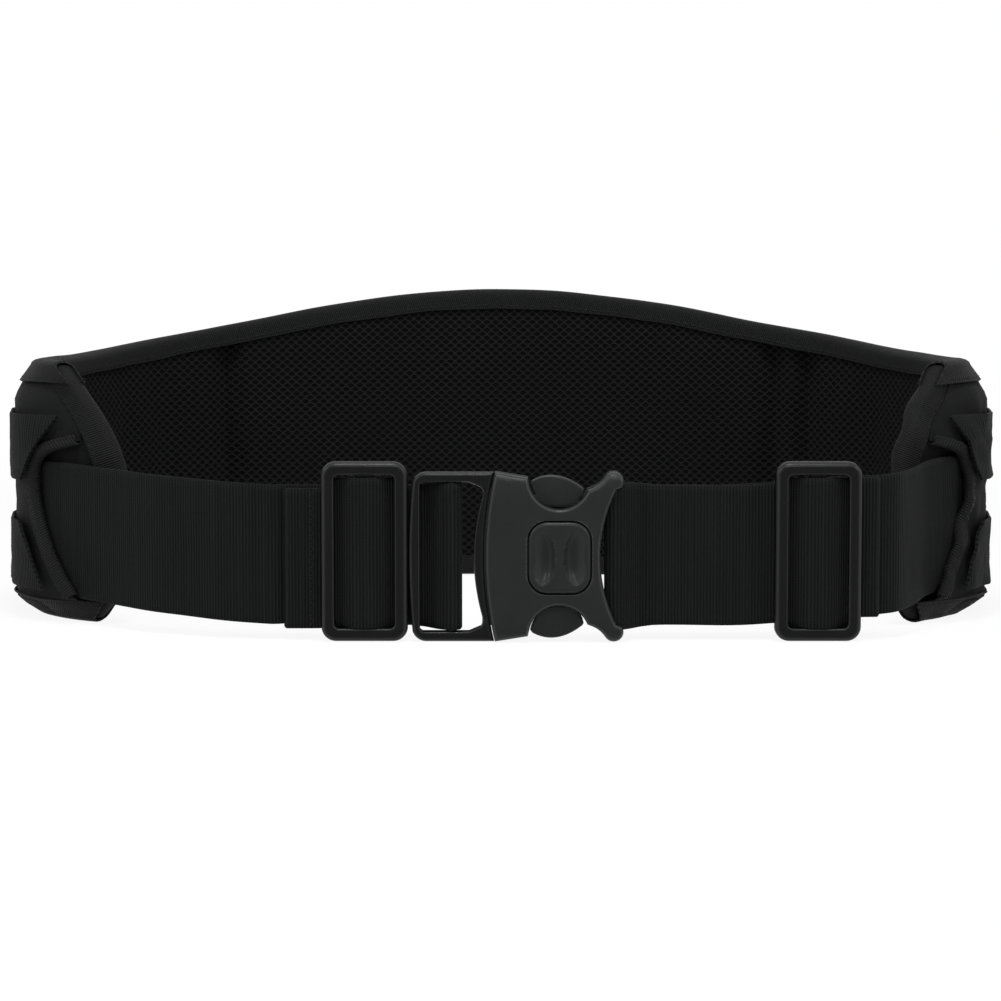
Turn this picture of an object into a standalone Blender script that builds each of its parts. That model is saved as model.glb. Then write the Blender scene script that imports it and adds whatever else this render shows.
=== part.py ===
"""Padded webbing waist belt with a three-point side-release buckle and two triglide sliders.

The belt stands on its lower edge. +X is the wearer's left as seen from the buckle's side, +Y points from the
buckle to the middle of the back, and +Z is up. Lengths are in metres and angles in degrees.

Soft layers are described in belt coordinates: s runs along the pad's inner face from the middle of the back,
v is the distance outward from that face, and z is the height. The buckle, sliders and front webbing use front
coordinates: x along the belt, v outward from the webbing's inner face, and z.
"""

import math

import bmesh
import bpy
from mathutils import Vector

# ---------------------------------------------------------------- driving dimensions

OVERALL_DEPTH = 0.238
PAD_HEIGHT_BACK = 0.1225
PAD_HEIGHT_SIDE = 0.097
CROWN_HALF_LENGTH = 0.210

# The pad's plan: length and turn of each stretch, from the middle of the back to one end.
BACK_LENGTH, BACK_TURN = 0.127, 19.0
CORNER_LENGTH, CORNER_TURN = 0.045, 44.0
SIDE_LENGTH, SIDE_TURN = 0.065, 25.0
END_LENGTH, END_TURN = 0.066, 73.0
NOSE_CUT_TOP = 0.045
NOSE_CUT_BOTTOM = 0.012
NOSE_ROUNDING = 1.5
MOUTH_CUT = 0.0345
MOUTH_SETBACK = 0.0025
END_PINCH = 0.020

# Shares of the pad's height, from its lower edge.
HEM_SHARE = 0.05
PINCH_SHARE = 0.14
NOSE_BOTTOM_SHARE = 0.14
NOSE_TOP_SHARE = 0.50
MOUTH_MIDDLE, MOUTH_REACH = 0.33, 0.36

GAP = 0.0003
LINING = 0.0015
FOAM = 0.0060
FOAM_EDGE = 0.0015
BACKING = 0.0010
COVER = 0.0010
TAPE = 0.0007
TAPE_DEPTH = 0.0080
FOLD_GAP = 0.0008
FOLD_REACH = 0.0012
SEAM_AT = 0.117
SEAM_WIDTH = 0.003
CURL_COLUMNS = 8

WEBBING_WIDTH = 0.050
WEBBING = 0.0018
STRAP_CENTRE_PAD = 0.0325
SLEEVED_HALF_LENGTH = 0.230
STRAP_LEAVES = 0.019

LOAD_WEBBING_WIDTH = 0.025
LOAD_WEBBING = 0.0013
LOAD_ROW_LOWER = 0.0245
LOAD_ROW_UPPER = 0.0650
LOAD_LOOP_PITCH = 0.038
COLUMNS_PER_LOOP = 3
LOAD_LOOP_LIFT = 0.0012
LOAD_LOOPS_PER_ROW = 13

PLUG_BAR = 0.0034
PLUG_SIDE = 0.0043
PLUG_CLEARANCE = 0.0018
PLUG_LEFT = -0.0326
PLUG_BASE_LEFT = -0.0060
PLUG_BAR_X = -0.0175
PLUG_CORNER = 0.0050
BUCKLE_MIDDLE_V = 0.0045
BAR_RADIUS = 0.0018

SOCKET_THICKNESS = 0.0124
SOCKET_WALL = 0.0036
SOCKET_LEFT = -0.0020
SOCKET_RIGHT = 0.0356
SOCKET_WAIST = 0.0058
SOCKET_BAR_X = 0.0407
SHOULDER_X = 0.0106
SHOULDER_DROP = 0.0022
ARC_BULGE = 0.0035
HORN_RADIUS = 0.0034
HORN_X = 0.0403
CAVITY_RIGHT = 0.0335
CAVITY_MARGIN = 0.0052
STRAP_POCKET_LEFT = 0.0364
STRAP_POCKET_ROOM = 0.0003

PRONG_WINDOW_RADIUS = 0.0108
PRONG_WINDOW_X = 0.0208
PRONG_WINDOW_DROP = 0.0022
PRONG_CLEARANCE = 0.0004
PRONG_CROWN = 0.0008
PRONG_CROWN_RADIUS = 0.0136
PRONG_THICKNESS = 0.0036
PRONG_ROOT_X = 0.0008
PRONG_ARM = 0.0045
PRONG_INNER = 0.0175
PRONG_HEAD_INNER = 0.0172
PRONG_TIP_X = 0.0312
PRONG_TIP_HEIGHT = 0.0035
PRONG_CHAMFER = 0.0005

TONGUE_HEIGHT = 0.0150
TONGUE_THICKNESS = 0.0025
TONGUE_CLEARANCE = 0.0004
TONGUE_TIP_X = 0.0318
BUTTON_WIDTH = 0.0220
BUTTON_HEIGHT = 0.0250
BUTTON_CORNER = 0.0066
BUTTON_X = 0.0209
BUTTON_PROUD = 0.0005
BUTTON_CLEARANCE = 0.0005
DENT_WIDTH = 0.0084
DENT_HEIGHT = 0.0176
DENT_DEPTH = 0.0014
RIDGE_WIDTH = 0.0040

SLIDER_WIDTH = 0.0308
SLIDER_SIDE = 0.0050
SLIDER_END = 0.0047
SLIDER_CLEARANCE = 0.0023
SLIDER_CORNER = 0.0048
SLIDER_CENTRE_BAR = 0.0060
SLIDER_BAR_THICKNESS = 0.0020
FRAME_BACK_V = 0.0022
FRAME_FRONT_V = 0.0079
WINDOW_CORNER = 0.0015
LIP_DEPTH = 0.0012
FRONT_CHAMFER = 0.0011
BACK_CHAMFER = 0.0006
LEFT_SLIDER_X = -0.0483
RIGHT_SLIDER_X = 0.1128
LEFT_TAIL_X = -0.0755
RIGHT_TAIL_X = 0.1335
LEFT_BEND_X = -0.0820
RIGHT_BEND_X = 0.1340
BAR_SPREAD = 0.0095

CUTTER_REACH = 0.0300
BITE = 0.0008

# ---------------------------------------------------------------- sizes that follow

PAD_END = BACK_LENGTH + CORNER_LENGTH + SIDE_LENGTH + END_LENGTH
STRAP_V = LINING + FOAM + BACKING + 3 * GAP
COVER_V = STRAP_V + WEBBING + GAP + TAPE + FOLD_GAP
EDGE_COVER_V = LINING + FOAM_EDGE + BACKING + 3 * GAP + TAPE + GAP
LOAD_V = COVER_V + COVER + GAP
STACK = LOAD_V + LOAD_WEBBING + LOAD_LOOP_LIFT
BACK_Y = OVERALL_DEPTH / 2 - STACK
SOCKET_FRONT_V = BUCKLE_MIDDLE_V + SOCKET_THICKNESS / 2
SOCKET_BACK_V = BUCKLE_MIDDLE_V - SOCKET_THICKNESS / 2
FRONT_Y = SOCKET_FRONT_V + BUTTON_PROUD - OVERALL_DEPTH / 2
LAYER_OFFSET = (WEBBING + GAP) / 2
PAIR = 2 * WEBBING + GAP
BUCKLE_HEIGHT = WEBBING_WIDTH + 2 * (PLUG_BAR + PLUG_CLEARANCE)
BUCKLE_MIDDLE_Z = BUCKLE_HEIGHT / 2
STRAP_CENTRE_FRONT = BUCKLE_MIDDLE_Z + 0.0001
SLIDER_HEIGHT = WEBBING_WIDTH + 2 * (SLIDER_END + SLIDER_CLEARANCE)
OUTER_BAR_V = PAIR + GAP
CENTRE_BAR_V = FRAME_BACK_V + GAP
CAVITY_HALF = SOCKET_THICKNESS / 2 - SOCKET_WALL
PRONG_WINDOW_AWAY = BUCKLE_HEIGHT / 2 - PRONG_WINDOW_DROP


# ---------------------------------------------------------------- materials


def material(name, colour, roughness, metallic=0.0):
    """A plain surface of one colour."""
    made = bpy.data.materials.new(name)
    made.use_nodes = True
    shader = made.node_tree.nodes["Principled BSDF"]
    shader.inputs["Base Color"].default_value = (*colour, 1.0)
    shader.inputs["Roughness"].default_value = roughness
    shader.inputs["Metallic"].default_value = metallic
    return made


def mesh_fabric():
    return material("air_mesh", (0.020, 0.020, 0.022), 0.90)


def foam():
    return material("foam", (0.035, 0.035, 0.038), 0.95)


def pack_cloth():
    return material("pack_cloth", (0.014, 0.014, 0.016), 0.80)


def binding_tape():
    return material("binding_tape", (0.018, 0.018, 0.020), 0.75)


def webbing():
    return material("webbing", (0.016, 0.016, 0.018), 0.70)


def moulded_plastic():
    return material("moulded_plastic", (0.020, 0.020, 0.022), 0.42)


# ---------------------------------------------------------------- helpers


def clear_scene():
    for old in list(bpy.data.objects):
        bpy.data.objects.remove(old, do_unlink=True)


def clamp(value, low=0.0, high=1.0):
    return max(low, min(high, value))


def smooth(value):
    """0 to 1 with level ends."""
    t = clamp(value)
    return t * t * (3 - 2 * t)


def add_object(name, points, faces, surface):
    """One named object with outward faces, shaded smooth over its shallow edges."""
    mesh = bpy.data.meshes.new(name)
    mesh.from_pydata([tuple(p) for p in points], [], faces)
    shape = bmesh.new()
    shape.from_mesh(mesh)
    bmesh.ops.recalc_face_normals(shape, faces=shape.faces)
    quads = [face for face in shape.faces if len(face.verts) == 4]
    bmesh.ops.triangulate(shape, faces=quads, quad_method="SHORT_EDGE")
    shape.to_mesh(mesh)
    shape.free()
    mesh.materials.append(surface)
    mesh.shade_smooth()
    mesh.set_sharp_from_angle(angle=math.radians(35))
    made = bpy.data.objects.new(name, mesh)
    bpy.context.scene.collection.objects.link(made)
    return made


def side_faces(ring_count, size):
    """Quads between consecutive rings of points."""
    faces = []
    for start in range(0, (ring_count - 1) * size, size):
        for i in range(size):
            j = (i + 1) % size
            faces.append([start + i, start + j, start + size + j, start + size + i])
    return faces


def tube(name, rings, surface):
    """A closed solid through equal rings of points, with a flat face on each end."""
    size = len(rings[0])
    points = [p for ring in rings for p in ring]
    ends = [list(range(size)), [(len(rings) - 1) * size + i for i in range(size)]]
    return add_object(name, points, side_faces(len(rings), size) + ends, surface)


def place_on_axis(made, axis_point):
    """Moves an object's origin to its joint's axis and leaves its surface in place."""
    shift = Vector(axis_point)
    for vertex in made.data.vertices:
        vertex.co -= shift
    made.location = shift


# ---------------------------------------------------------------- the pad's plan and outline


def guide(s):
    """The pad's inner face in plan at s: the point, and the direction outward."""
    side = -1.0 if s < 0 else 1.0
    left = abs(s)
    x, y, heading = 0.0, BACK_Y, 0.0
    stretches = (
        (BACK_LENGTH, BACK_TURN),
        (CORNER_LENGTH, CORNER_TURN),
        (SIDE_LENGTH, SIDE_TURN),
        (END_LENGTH, END_TURN),
    )
    for length, turn in stretches:
        bend = math.radians(turn) * min(left, length) / length
        radius = length / math.radians(turn)
        x += radius * (math.sin(heading + bend) - math.sin(heading))
        y -= radius * (math.cos(heading) - math.cos(heading + bend))
        heading += bend
        left -= min(left, length)
    x += left * math.cos(heading)
    y -= left * math.sin(heading)
    return Vector((side * x, y)), Vector((side * math.sin(heading), math.cos(heading)))


def on_pad(s, v, z):
    """A point in belt coordinates."""
    point, outward = guide(s)
    return Vector((point.x + outward.x * v, point.y + outward.y * v, z))


def pad_height(s):
    crown = 0.5 + 0.5 * math.cos(math.pi * clamp(abs(s) / CROWN_HALF_LENGTH))
    return PAD_HEIGHT_SIDE + (PAD_HEIGHT_BACK - PAD_HEIGHT_SIDE) * crown


def nose(w):
    """How far the pad reaches round the waist at the share w of its height."""
    above = clamp((w - NOSE_TOP_SHARE) / (1 - NOSE_TOP_SHARE))
    below = clamp((NOSE_BOTTOM_SHARE - w) / NOSE_BOTTOM_SHARE)
    return PAD_END - NOSE_CUT_TOP * above**NOSE_ROUNDING - NOSE_CUT_BOTTOM * below


def mouth(w):
    """Where the sleeve's cover ends: a C that is cut back round the strap."""
    hollow = max(0.0, 1.0 - ((w - MOUTH_MIDDLE) / MOUTH_REACH) ** 2)
    return nose(w) - TAPE_DEPTH - MOUTH_SETBACK - MOUTH_CUT * hollow


def plateau(w):
    """0 on the pad's upper and lower edges and 1 between them."""
    return clamp(min(w / HEM_SHARE, (1 - w) / PINCH_SHARE))


def bulge(w):
    """0 on the cushions' upper and lower edges and 1 between them."""
    return clamp(min(w / PINCH_SHARE, (1 - w) / PINCH_SHARE))


CURL_START = PAD_END - END_LENGTH


def stations(low, high):
    """The belt's shared columns between low and high, closer together where the ends curl in."""
    count = round(CURL_START / LOAD_LOOP_PITCH * COLUMNS_PER_LOOP)
    half = [CURL_START * i / count for i in range(1, count)]
    half += [CURL_START + END_LENGTH * i / CURL_COLUMNS for i in range(CURL_COLUMNS)]
    shared = [-s for s in reversed(half)] + [0.0] + half
    return [low] + [s for s in shared if low + 0.002 < s < high - 0.002] + [high]


def reach(t, end):
    """Moves the column t toward the sheet's own end once it is past the start of the curl."""
    beyond = abs(t) - CURL_START
    if beyond <= 0:
        return t
    return math.copysign(CURL_START + beyond * (end - CURL_START) / (PAD_END - CURL_START), t)


def foam_at(s, w):
    """Thickness of the cushions, pinched where the end bindings hold them."""
    held = clamp((nose(w) - abs(s)) / END_PINCH)
    return FOAM_EDGE + (FOAM - FOAM_EDGE) * bulge(w) * held


def cover_at(w):
    """The cover's inner face."""
    return EDGE_COVER_V + (COVER_V - EDGE_COVER_V) * plateau(w)


NOSE_ROWS = (NOSE_TOP_SHARE, 0.59, 0.68, 0.74, 0.80, 1 - PINCH_SHARE, 0.93)
PAD_ROWS = (0.0, NOSE_BOTTOM_SHARE / 2, NOSE_BOTTOM_SHARE) + NOSE_ROWS + (1.0,)
MOUTH_ROWS = (0.09, 0.20, MOUTH_MIDDLE, 0.46, 0.57, 0.62, 0.68, 0.74, 0.80, 1 - PINCH_SHARE)
COVER_ROWS = (0.0, HEM_SHARE) + MOUTH_ROWS + (1.0,)


def level_at(s, w):
    """Height of the share w of the cloth, which ends inside the fold of the edge bindings."""
    inset = TAPE + GAP
    return inset + w * (pad_height(s) - 2 * inset)


def sheet(name, low, high, rows, faces_at, end, surface):
    """A sheet of the pad between two v surfaces; end(w) is how far it reaches at the share w of its height."""
    columns = stations(low, high)

    def corner(t, w, outer):
        s = reach(t, end(w))
        return on_pad(s, faces_at(s, w)[outer], level_at(s, w))

    rings = []
    for t in columns:
        inner = [corner(t, w, 0) for w in rows]
        outer = [corner(t, w, 1) for w in reversed(rows)]
        rings.append(inner + outer)
    return sheet_solid(name, rings, len(rows), surface)


def sheet_solid(name, rings, span, surface):
    """Like tube, with the two end faces split into one quad for each row of the sheet."""
    size = len(rings[0])
    points = [p for ring in rings for p in ring]
    faces = side_faces(len(rings), size)
    for start in (0, (len(rings) - 1) * size):
        for i in range(span - 1):
            faces.append([start + i, start + i + 1, start + size - 2 - i, start + size - 1 - i])
    return add_object(name, points, faces, surface)


# ---------------------------------------------------------------- pad layers


def mesh_lining():
    return sheet(
        "mesh_lining",
        -PAD_END,
        PAD_END,
        PAD_ROWS,
        lambda s, w: (0.0, LINING),
        nose,
        mesh_fabric(),
    )


def foam_cushion(name, low, high):
    inner = LINING + GAP
    return sheet(
        name,
        low,
        high,
        PAD_ROWS,
        lambda s, w: (inner, inner + foam_at(s, w)),
        nose,
        foam(),
    )


def pad_backing():
    def faces_at(s, w):
        inner = LINING + foam_at(s, w) + 2 * GAP
        return inner, inner + BACKING

    return sheet("pad_backing", -PAD_END, PAD_END, PAD_ROWS, faces_at, nose, pack_cloth())


def sleeve_cover():
    return sheet(
        "sleeve_cover",
        -PAD_END,
        PAD_END,
        COVER_ROWS,
        lambda s, w: (cover_at(w), cover_at(w) + COVER),
        mouth,
        pack_cloth(),
    )


def edge_binding(name, top):
    """A folded tape over the pad's upper or lower edge, from one end binding to the other."""
    limit = nose(1.0 if top else 0.0) - TAPE_DEPTH - GAP
    inset = TAPE + GAP
    rings = []
    for s in stations(-limit, limit):
        height = pad_height(s)
        edge = height if top else 0.0
        inward = -1.0 if top else 1.0
        cloth = height - 2 * inset

        def level(depth):
            return edge + inward * depth

        def outer_v(depth):
            share = (depth - inset) / cloth
            return cover_at(clamp(share if not top else 1 - share)) + COVER + GAP

        knee = inset + HEM_SHARE * cloth if not top else TAPE_DEPTH / 2
        section = [
            (-GAP - TAPE, TAPE_DEPTH),
            (-GAP - TAPE, 0.0),
            (outer_v(inset) + TAPE, 0.0),
            (outer_v(knee) + TAPE, knee),
            (outer_v(TAPE_DEPTH) + TAPE, TAPE_DEPTH),
            (outer_v(TAPE_DEPTH), TAPE_DEPTH),
            (outer_v(knee), knee),
            (outer_v(inset), TAPE),
            (-GAP, TAPE),
            (-GAP, TAPE_DEPTH),
        ]
        rings.append([on_pad(s, v, level(depth)) for v, depth in section])
    return tube(name, rings, binding_tape())


def end_binding(name, side):
    """A folded tape round the pad's end, from its lower corner over the nose to its upper corner."""
    outer = LINING + FOAM_EDGE + BACKING + 2 * GAP + FOLD_GAP
    slope = (FOAM - FOAM_EDGE) / END_PINCH
    rings = []
    levels = [(0.0, 0.0)] + [(w, level_at(PAD_END, w)) for w in PAD_ROWS] + [(1.0, pad_height(PAD_END))]
    for w, z in levels:
        end = nose(w)
        rise = slope * TAPE_DEPTH * bulge(w)
        middle = end - TAPE_DEPTH / 2
        section = [
            (end - TAPE_DEPTH, -FOLD_GAP - TAPE),
            (middle, -FOLD_GAP - TAPE),
            (end + FOLD_REACH + TAPE, -FOLD_GAP - TAPE),
            (end + FOLD_REACH + TAPE, outer + TAPE),
            (middle, outer + TAPE + rise / 2),
            (end - TAPE_DEPTH, outer + TAPE + rise),
            (end - TAPE_DEPTH, outer + rise),
            (middle, outer + rise / 2),
            (end + FOLD_REACH, outer),
            (end + FOLD_REACH, -FOLD_GAP),
            (middle, -FOLD_GAP),
            (end - TAPE_DEPTH, -FOLD_GAP),
        ]
        rings.append([on_pad(side * s, v, z) for s, v in section])
    return tube(name, rings, binding_tape())


def mouth_binding(name, side):
    """A folded tape round the C-shaped mouth that the strap comes out of."""
    inner, outer = COVER_V - FOLD_GAP, COVER_V + COVER + FOLD_GAP
    rings = []
    for w in MOUTH_ROWS:
        end = mouth(w)
        section = [
            (end - TAPE_DEPTH, inner - TAPE),
            (end + FOLD_REACH + TAPE, inner - TAPE),
            (end + FOLD_REACH + TAPE, outer + TAPE),
            (end - TAPE_DEPTH, outer + TAPE),
            (end - TAPE_DEPTH, outer),
            (end + FOLD_REACH, outer),
            (end + FOLD_REACH, inner),
            (end - TAPE_DEPTH, inner),
        ]
        rings.append([on_pad(side * s, v, level_at(end, w)) for s, v in section])
    return tube(name, rings, binding_tape())


def load_webbing(name, centre):
    """A row of narrow webbing, tacked down at every pitch and lifted into loops between."""
    low, high = centre - LOAD_WEBBING_WIDTH / 2, centre + LOAD_WEBBING_WIDTH / 2
    half = LOAD_LOOPS_PER_ROW * LOAD_LOOP_PITCH / 2
    rings = []
    for s in stations(-half, half):
        lift = LOAD_LOOP_LIFT * math.cos(math.pi * s / LOAD_LOOP_PITCH) ** 2
        inner, outer = LOAD_V + lift, LOAD_V + lift + LOAD_WEBBING
        rings.append([on_pad(s, inner, low), on_pad(s, inner, high), on_pad(s, outer, high), on_pad(s, outer, low)])
    return tube(name, rings, webbing())


# ---------------------------------------------------------------- strap


def belt_webbing():
    """The strap inside the sleeve."""
    low, high = STRAP_CENTRE_PAD - WEBBING_WIDTH / 2, STRAP_CENTRE_PAD + WEBBING_WIDTH / 2
    inner, outer = STRAP_V, STRAP_V + WEBBING
    rings = []
    for s in stations(-SLEEVED_HALF_LENGTH, SLEEVED_HALF_LENGTH):
        rings.append([on_pad(s, inner, low), on_pad(s, inner, high), on_pad(s, outer, high), on_pad(s, outer, low)])
    return tube("belt_webbing", rings, webbing())


def layer_middle(u, slider_u):
    """Height v of the middle of the two strap layers, over the slider's centre bar and behind its sides."""
    flat = PAIR / 2
    over_bar = CENTRE_BAR_V + SLIDER_BAR_THICKNESS + GAP + PAIR / 2
    level_part = SLIDER_CENTRE_BAR / 3
    slope = SLIDER_WIDTH / 2 - SLIDER_SIDE - level_part
    rise = 0.5 + 0.5 * math.cos(math.pi * clamp((abs(u - slider_u) - level_part) / slope))
    return flat + (over_bar - flat) * rise


def strap_end(name, side, bend_x, slider_x, bar_x, tail_x):
    """The strap from inside the sleeve through a slider, round a bar and back through the slider to its tail."""
    path = []
    leave = PAD_END - STRAP_LEAVES
    middle_v = STRAP_V + WEBBING / 2
    steps = 8
    for i in range(steps + 1):
        point = on_pad(side * (leave + (SLEEVED_HALF_LENGTH + GAP - leave) * (1 - i / steps)), middle_v, 0)
        path.append((point.x, point.y, 0.0))

    start = on_pad(side * leave, middle_v, 0)
    before = on_pad(side * (leave - 0.001), middle_v, 0)
    leaving = (start - before).normalized()
    bend = Vector((bend_x, FRONT_Y - WEBBING / 2, 0))
    arriving = Vector((-side, 0, 0))
    pull = 0.9 * (bend - start).length
    steps = 12
    for i in range(1, steps + 1):
        t = i / steps
        point = (
            start * (2 * t**3 - 3 * t**2 + 1)
            + leaving * pull * (t**3 - 2 * t**2 + t)
            + bend * (3 * t**2 - 2 * t**3)
            + arriving * pull * (t**3 - t**2)
        )
        path.append((point.x, point.y, smooth(t)))

    # Along the front: u is the distance from the buckle's bar, positive toward the pad.
    slider_u, tail_u, bend_u = abs(slider_x - bar_x), abs(tail_x - bar_x), abs(bend_x - bar_x)
    wrap = BAR_RADIUS + GAP + WEBBING / 2

    def front(u, v):
        return (bar_x + side * u, FRONT_Y - v, 1.0)

    def layer(u, sign):
        """v of one layer: sign -1 is the main strap and +1 the tail."""
        spread = smooth(u / BAR_SPREAD)
        round_bar = BUCKLE_MIDDLE_V + sign * wrap
        return round_bar + (layer_middle(u, slider_u) + sign * LAYER_OFFSET - round_bar) * spread

    marks = [slider_u + d * 0.001 for d in (14, 11, 9.5, 8, 6.5, 5, 3.5, 2, 0, -2, -3.5, -5, -6.5, -8, -9.5, -11)]
    near = [BAR_SPREAD * k / 6 for k in (6, 5, 4, 3, 2, 1, 0)]
    runs = sorted({round(u, 6) for u in marks + near}, reverse=True)
    path += [front(u, layer(u, -1)) for u in runs if u < bend_u - 0.001]
    for i in range(1, 8):
        angle = math.pi * i / 8
        path.append(front(-wrap * math.sin(angle), BUCKLE_MIDDLE_V - wrap * math.cos(angle)))
    back = sorted(u for u in runs if u < tail_u - 0.001) + [tail_u]
    path += [front(u, layer(u, 1)) for u in back]
    return ribbon(name, path, webbing())


def ribbon(name, path, surface):
    """Webbing on edge along a plan path of (x, y, share), where share 1 has the front's height."""
    rings = []
    for i, (x, y, share) in enumerate(path):
        ahead, behind = path[min(i + 1, len(path) - 1)], path[max(i - 1, 0)]
        first = Vector((x - behind[0], y - behind[1]))
        second = Vector((ahead[0] - x, ahead[1] - y))
        along = (first.normalized() if i else second.normalized()) + (
            second.normalized() if i < len(path) - 1 else first.normalized()
        )
        along.normalize()
        across = Vector((-along.y, along.x)) * WEBBING / 2
        stretch = 1.0
        if 0 < i < len(path) - 1:
            stretch = 1.0 / max(0.7, along.dot(first.normalized()))
        across *= stretch
        centre = STRAP_CENTRE_PAD + (STRAP_CENTRE_FRONT - STRAP_CENTRE_PAD) * share
        low, high = centre - WEBBING_WIDTH / 2, centre + WEBBING_WIDTH / 2
        rings.append(
            [
                (x + across.x, y + across.y, low),
                (x + across.x, y + across.y, high),
                (x - across.x, y - across.y, high),
                (x - across.x, y - across.y, low),
            ]
        )
    return tube(name, rings, surface)


# ---------------------------------------------------------------- moulded parts


def arc(x, z, radius, start, end, steps):
    """Points of an arc in the x, z plane, angles in degrees from +x toward +z."""
    angles = [math.radians(start + (end - start) * i / steps) for i in range(steps + 1)]
    return [(x + radius * math.cos(a), z + radius * math.sin(a)) for a in angles]


def rounded_outline(left, right, low, high, radius, steps=3):
    points = arc(right - radius, high - radius, radius, 0, 90, steps)
    points += arc(left + radius, high - radius, radius, 90, 180, steps)
    points += arc(left + radius, low + radius, radius, 180, 270, steps)
    points += arc(right - radius, low + radius, radius, 270, 360, steps)
    return points


def offset(outline, amount):
    """The outline moved inward by amount; its points run counterclockwise."""
    moved = []
    count = len(outline)
    for i, (x, z) in enumerate(outline):
        before, after = outline[i - 1], outline[(i + 1) % count]
        first = Vector((x - before[0], z - before[1])).normalized()
        second = Vector((after[0] - x, after[1] - z)).normalized()
        inward = Vector((-first.y, first.x)) + Vector((-second.y, second.x))
        inward.normalize()
        along = inward.dot(Vector((-first.y, first.x)))
        moved.append((x + inward.x * amount / max(along, 0.5), z + inward.y * amount / max(along, 0.5)))
    return moved


def plate(name, outline, back, front, surface, chamfer=0.0, back_chamfer=0.0):
    """The outline as a solid between two v heights, with a chamfer round one or both faces."""
    loops = []
    if back_chamfer:
        loops.append((back, offset(outline, back_chamfer)))
    loops.append((back + abs(back_chamfer), outline))
    loops.append((front - abs(chamfer), outline))
    if chamfer:
        loops.append((front, offset(outline, chamfer)))
    rings = [[Vector((x, FRONT_Y - v, z)) for x, z in points] for v, points in loops]
    return tube(name, rings, surface)


def bar(name, x, v, radius, low, high, surface, sides=12):
    rings = []
    for z in (low, high):
        ring = []
        for i in range(sides):
            angle = 2 * math.pi * i / sides
            ring.append((x + radius * math.cos(angle), FRONT_Y - v - radius * math.sin(angle), z))
        rings.append(ring)
    return tube(name, rings, surface)


def combine(target, other, operation):
    """Adds or cuts another solid, which stays behind as a hidden guide."""
    step = target.modifiers.new(operation.lower(), "BOOLEAN")
    step.object = other
    step.operation = operation
    step.solver = "EXACT"
    other.hide_render = True
    other.display_type = "WIRE"


def box_outline(left, right, low, high):
    return [(right, low), (right, high), (left, high), (left, low)]


def through(name, outline):
    """A cutter that goes right through a moulded part."""
    return plate(name, outline, -CUTTER_REACH, CUTTER_REACH, moulded_plastic())


def slider(name, x):
    """A triglide: a bevelled frame whose sides stand in front of the webbing and a set-back centre bar."""
    plastic = moulded_plastic()
    half = SLIDER_WIDTH / 2
    outline = rounded_outline(x - half, x + half, 0, SLIDER_HEIGHT, SLIDER_CORNER)
    frame = plate(name, outline, FRAME_BACK_V, FRAME_FRONT_V, plastic, FRONT_CHAMFER, BACK_CHAMFER)
    low, high = SLIDER_END, SLIDER_HEIGHT - SLIDER_END
    inside = rounded_outline(x - half + SLIDER_SIDE, x + half - SLIDER_SIDE, low, high, WINDOW_CORNER)
    combine(frame, through(name + "_window", inside), "DIFFERENCE")
    lip = plate(
        name + "_lip", inside, FRAME_FRONT_V - LIP_DEPTH, FRAME_FRONT_V + LIP_DEPTH, plastic, -2 * LIP_DEPTH
    )
    combine(frame, lip, "DIFFERENCE")
    channel = box_outline(x - CUTTER_REACH, x + CUTTER_REACH, low, high)
    combine(frame, plate(name + "_channel", channel, -CUTTER_REACH, OUTER_BAR_V, plastic), "DIFFERENCE")
    centre = plate(
        name + "_centre_bar",
        box_outline(x - SLIDER_CENTRE_BAR / 2, x + SLIDER_CENTRE_BAR / 2, low - BITE, high + BITE),
        CENTRE_BAR_V,
        CENTRE_BAR_V + SLIDER_BAR_THICKNESS,
        plastic,
        SLIDER_BAR_THICKNESS / 4,
    )
    combine(frame, centre, "UNION")
    return frame


def bowed_edge(x_end, bulge_by, low, high, steps=8):
    """An edge from low to high that bows toward -x by bulge_by in its middle."""
    points = []
    for i in range(steps + 1):
        share = i / steps
        points.append((x_end - bulge_by * 4 * share * (1 - share), low + (high - low) * share))
    return points


def buckle_plug():
    """The plug's frame, the bar that the webbing wraps, and the base that carries the prongs."""
    plastic = moulded_plastic()
    corner = PLUG_LEFT + PLUG_CORNER
    outline = arc(corner, PLUG_CORNER, PLUG_CORNER, 180, 270, 4)
    outline += bowed_edge(SOCKET_LEFT - BUTTON_CLEARANCE, ARC_BULGE, 0.0, BUCKLE_HEIGHT)
    outline += arc(corner, BUCKLE_HEIGHT - PLUG_CORNER, PLUG_CORNER, 90, 180, 4)
    frame = plate("buckle_plug", outline, FRAME_BACK_V, FRAME_FRONT_V, plastic, FRONT_CHAMFER, BACK_CHAMFER)
    low, high = PLUG_BAR, BUCKLE_HEIGHT - PLUG_BAR
    left = PLUG_LEFT + PLUG_SIDE
    inside = [(left, high), (left, low)] + bowed_edge(PLUG_BASE_LEFT, ARC_BULGE, low, high)
    combine(frame, through("plug_window", inside), "DIFFERENCE")
    channel = box_outline(PLUG_LEFT - CUTTER_REACH, left + BITE, low, high)
    combine(frame, plate("plug_channel", channel, -CUTTER_REACH, OUTER_BAR_V, plastic), "DIFFERENCE")
    crossbar = bar("plug_crossbar", PLUG_BAR_X, BUCKLE_MIDDLE_V, BAR_RADIUS, low - BITE, high + BITE, plastic)
    combine(frame, crossbar, "UNION")
    return frame


def from_middle(points, sign):
    """Points given by their distance from the buckle's middle, on its upper or lower side, counterclockwise."""
    placed = [(x, BUCKLE_MIDDLE_Z + sign * away) for x, away in points]
    return placed if sign > 0 else placed[::-1]


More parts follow.
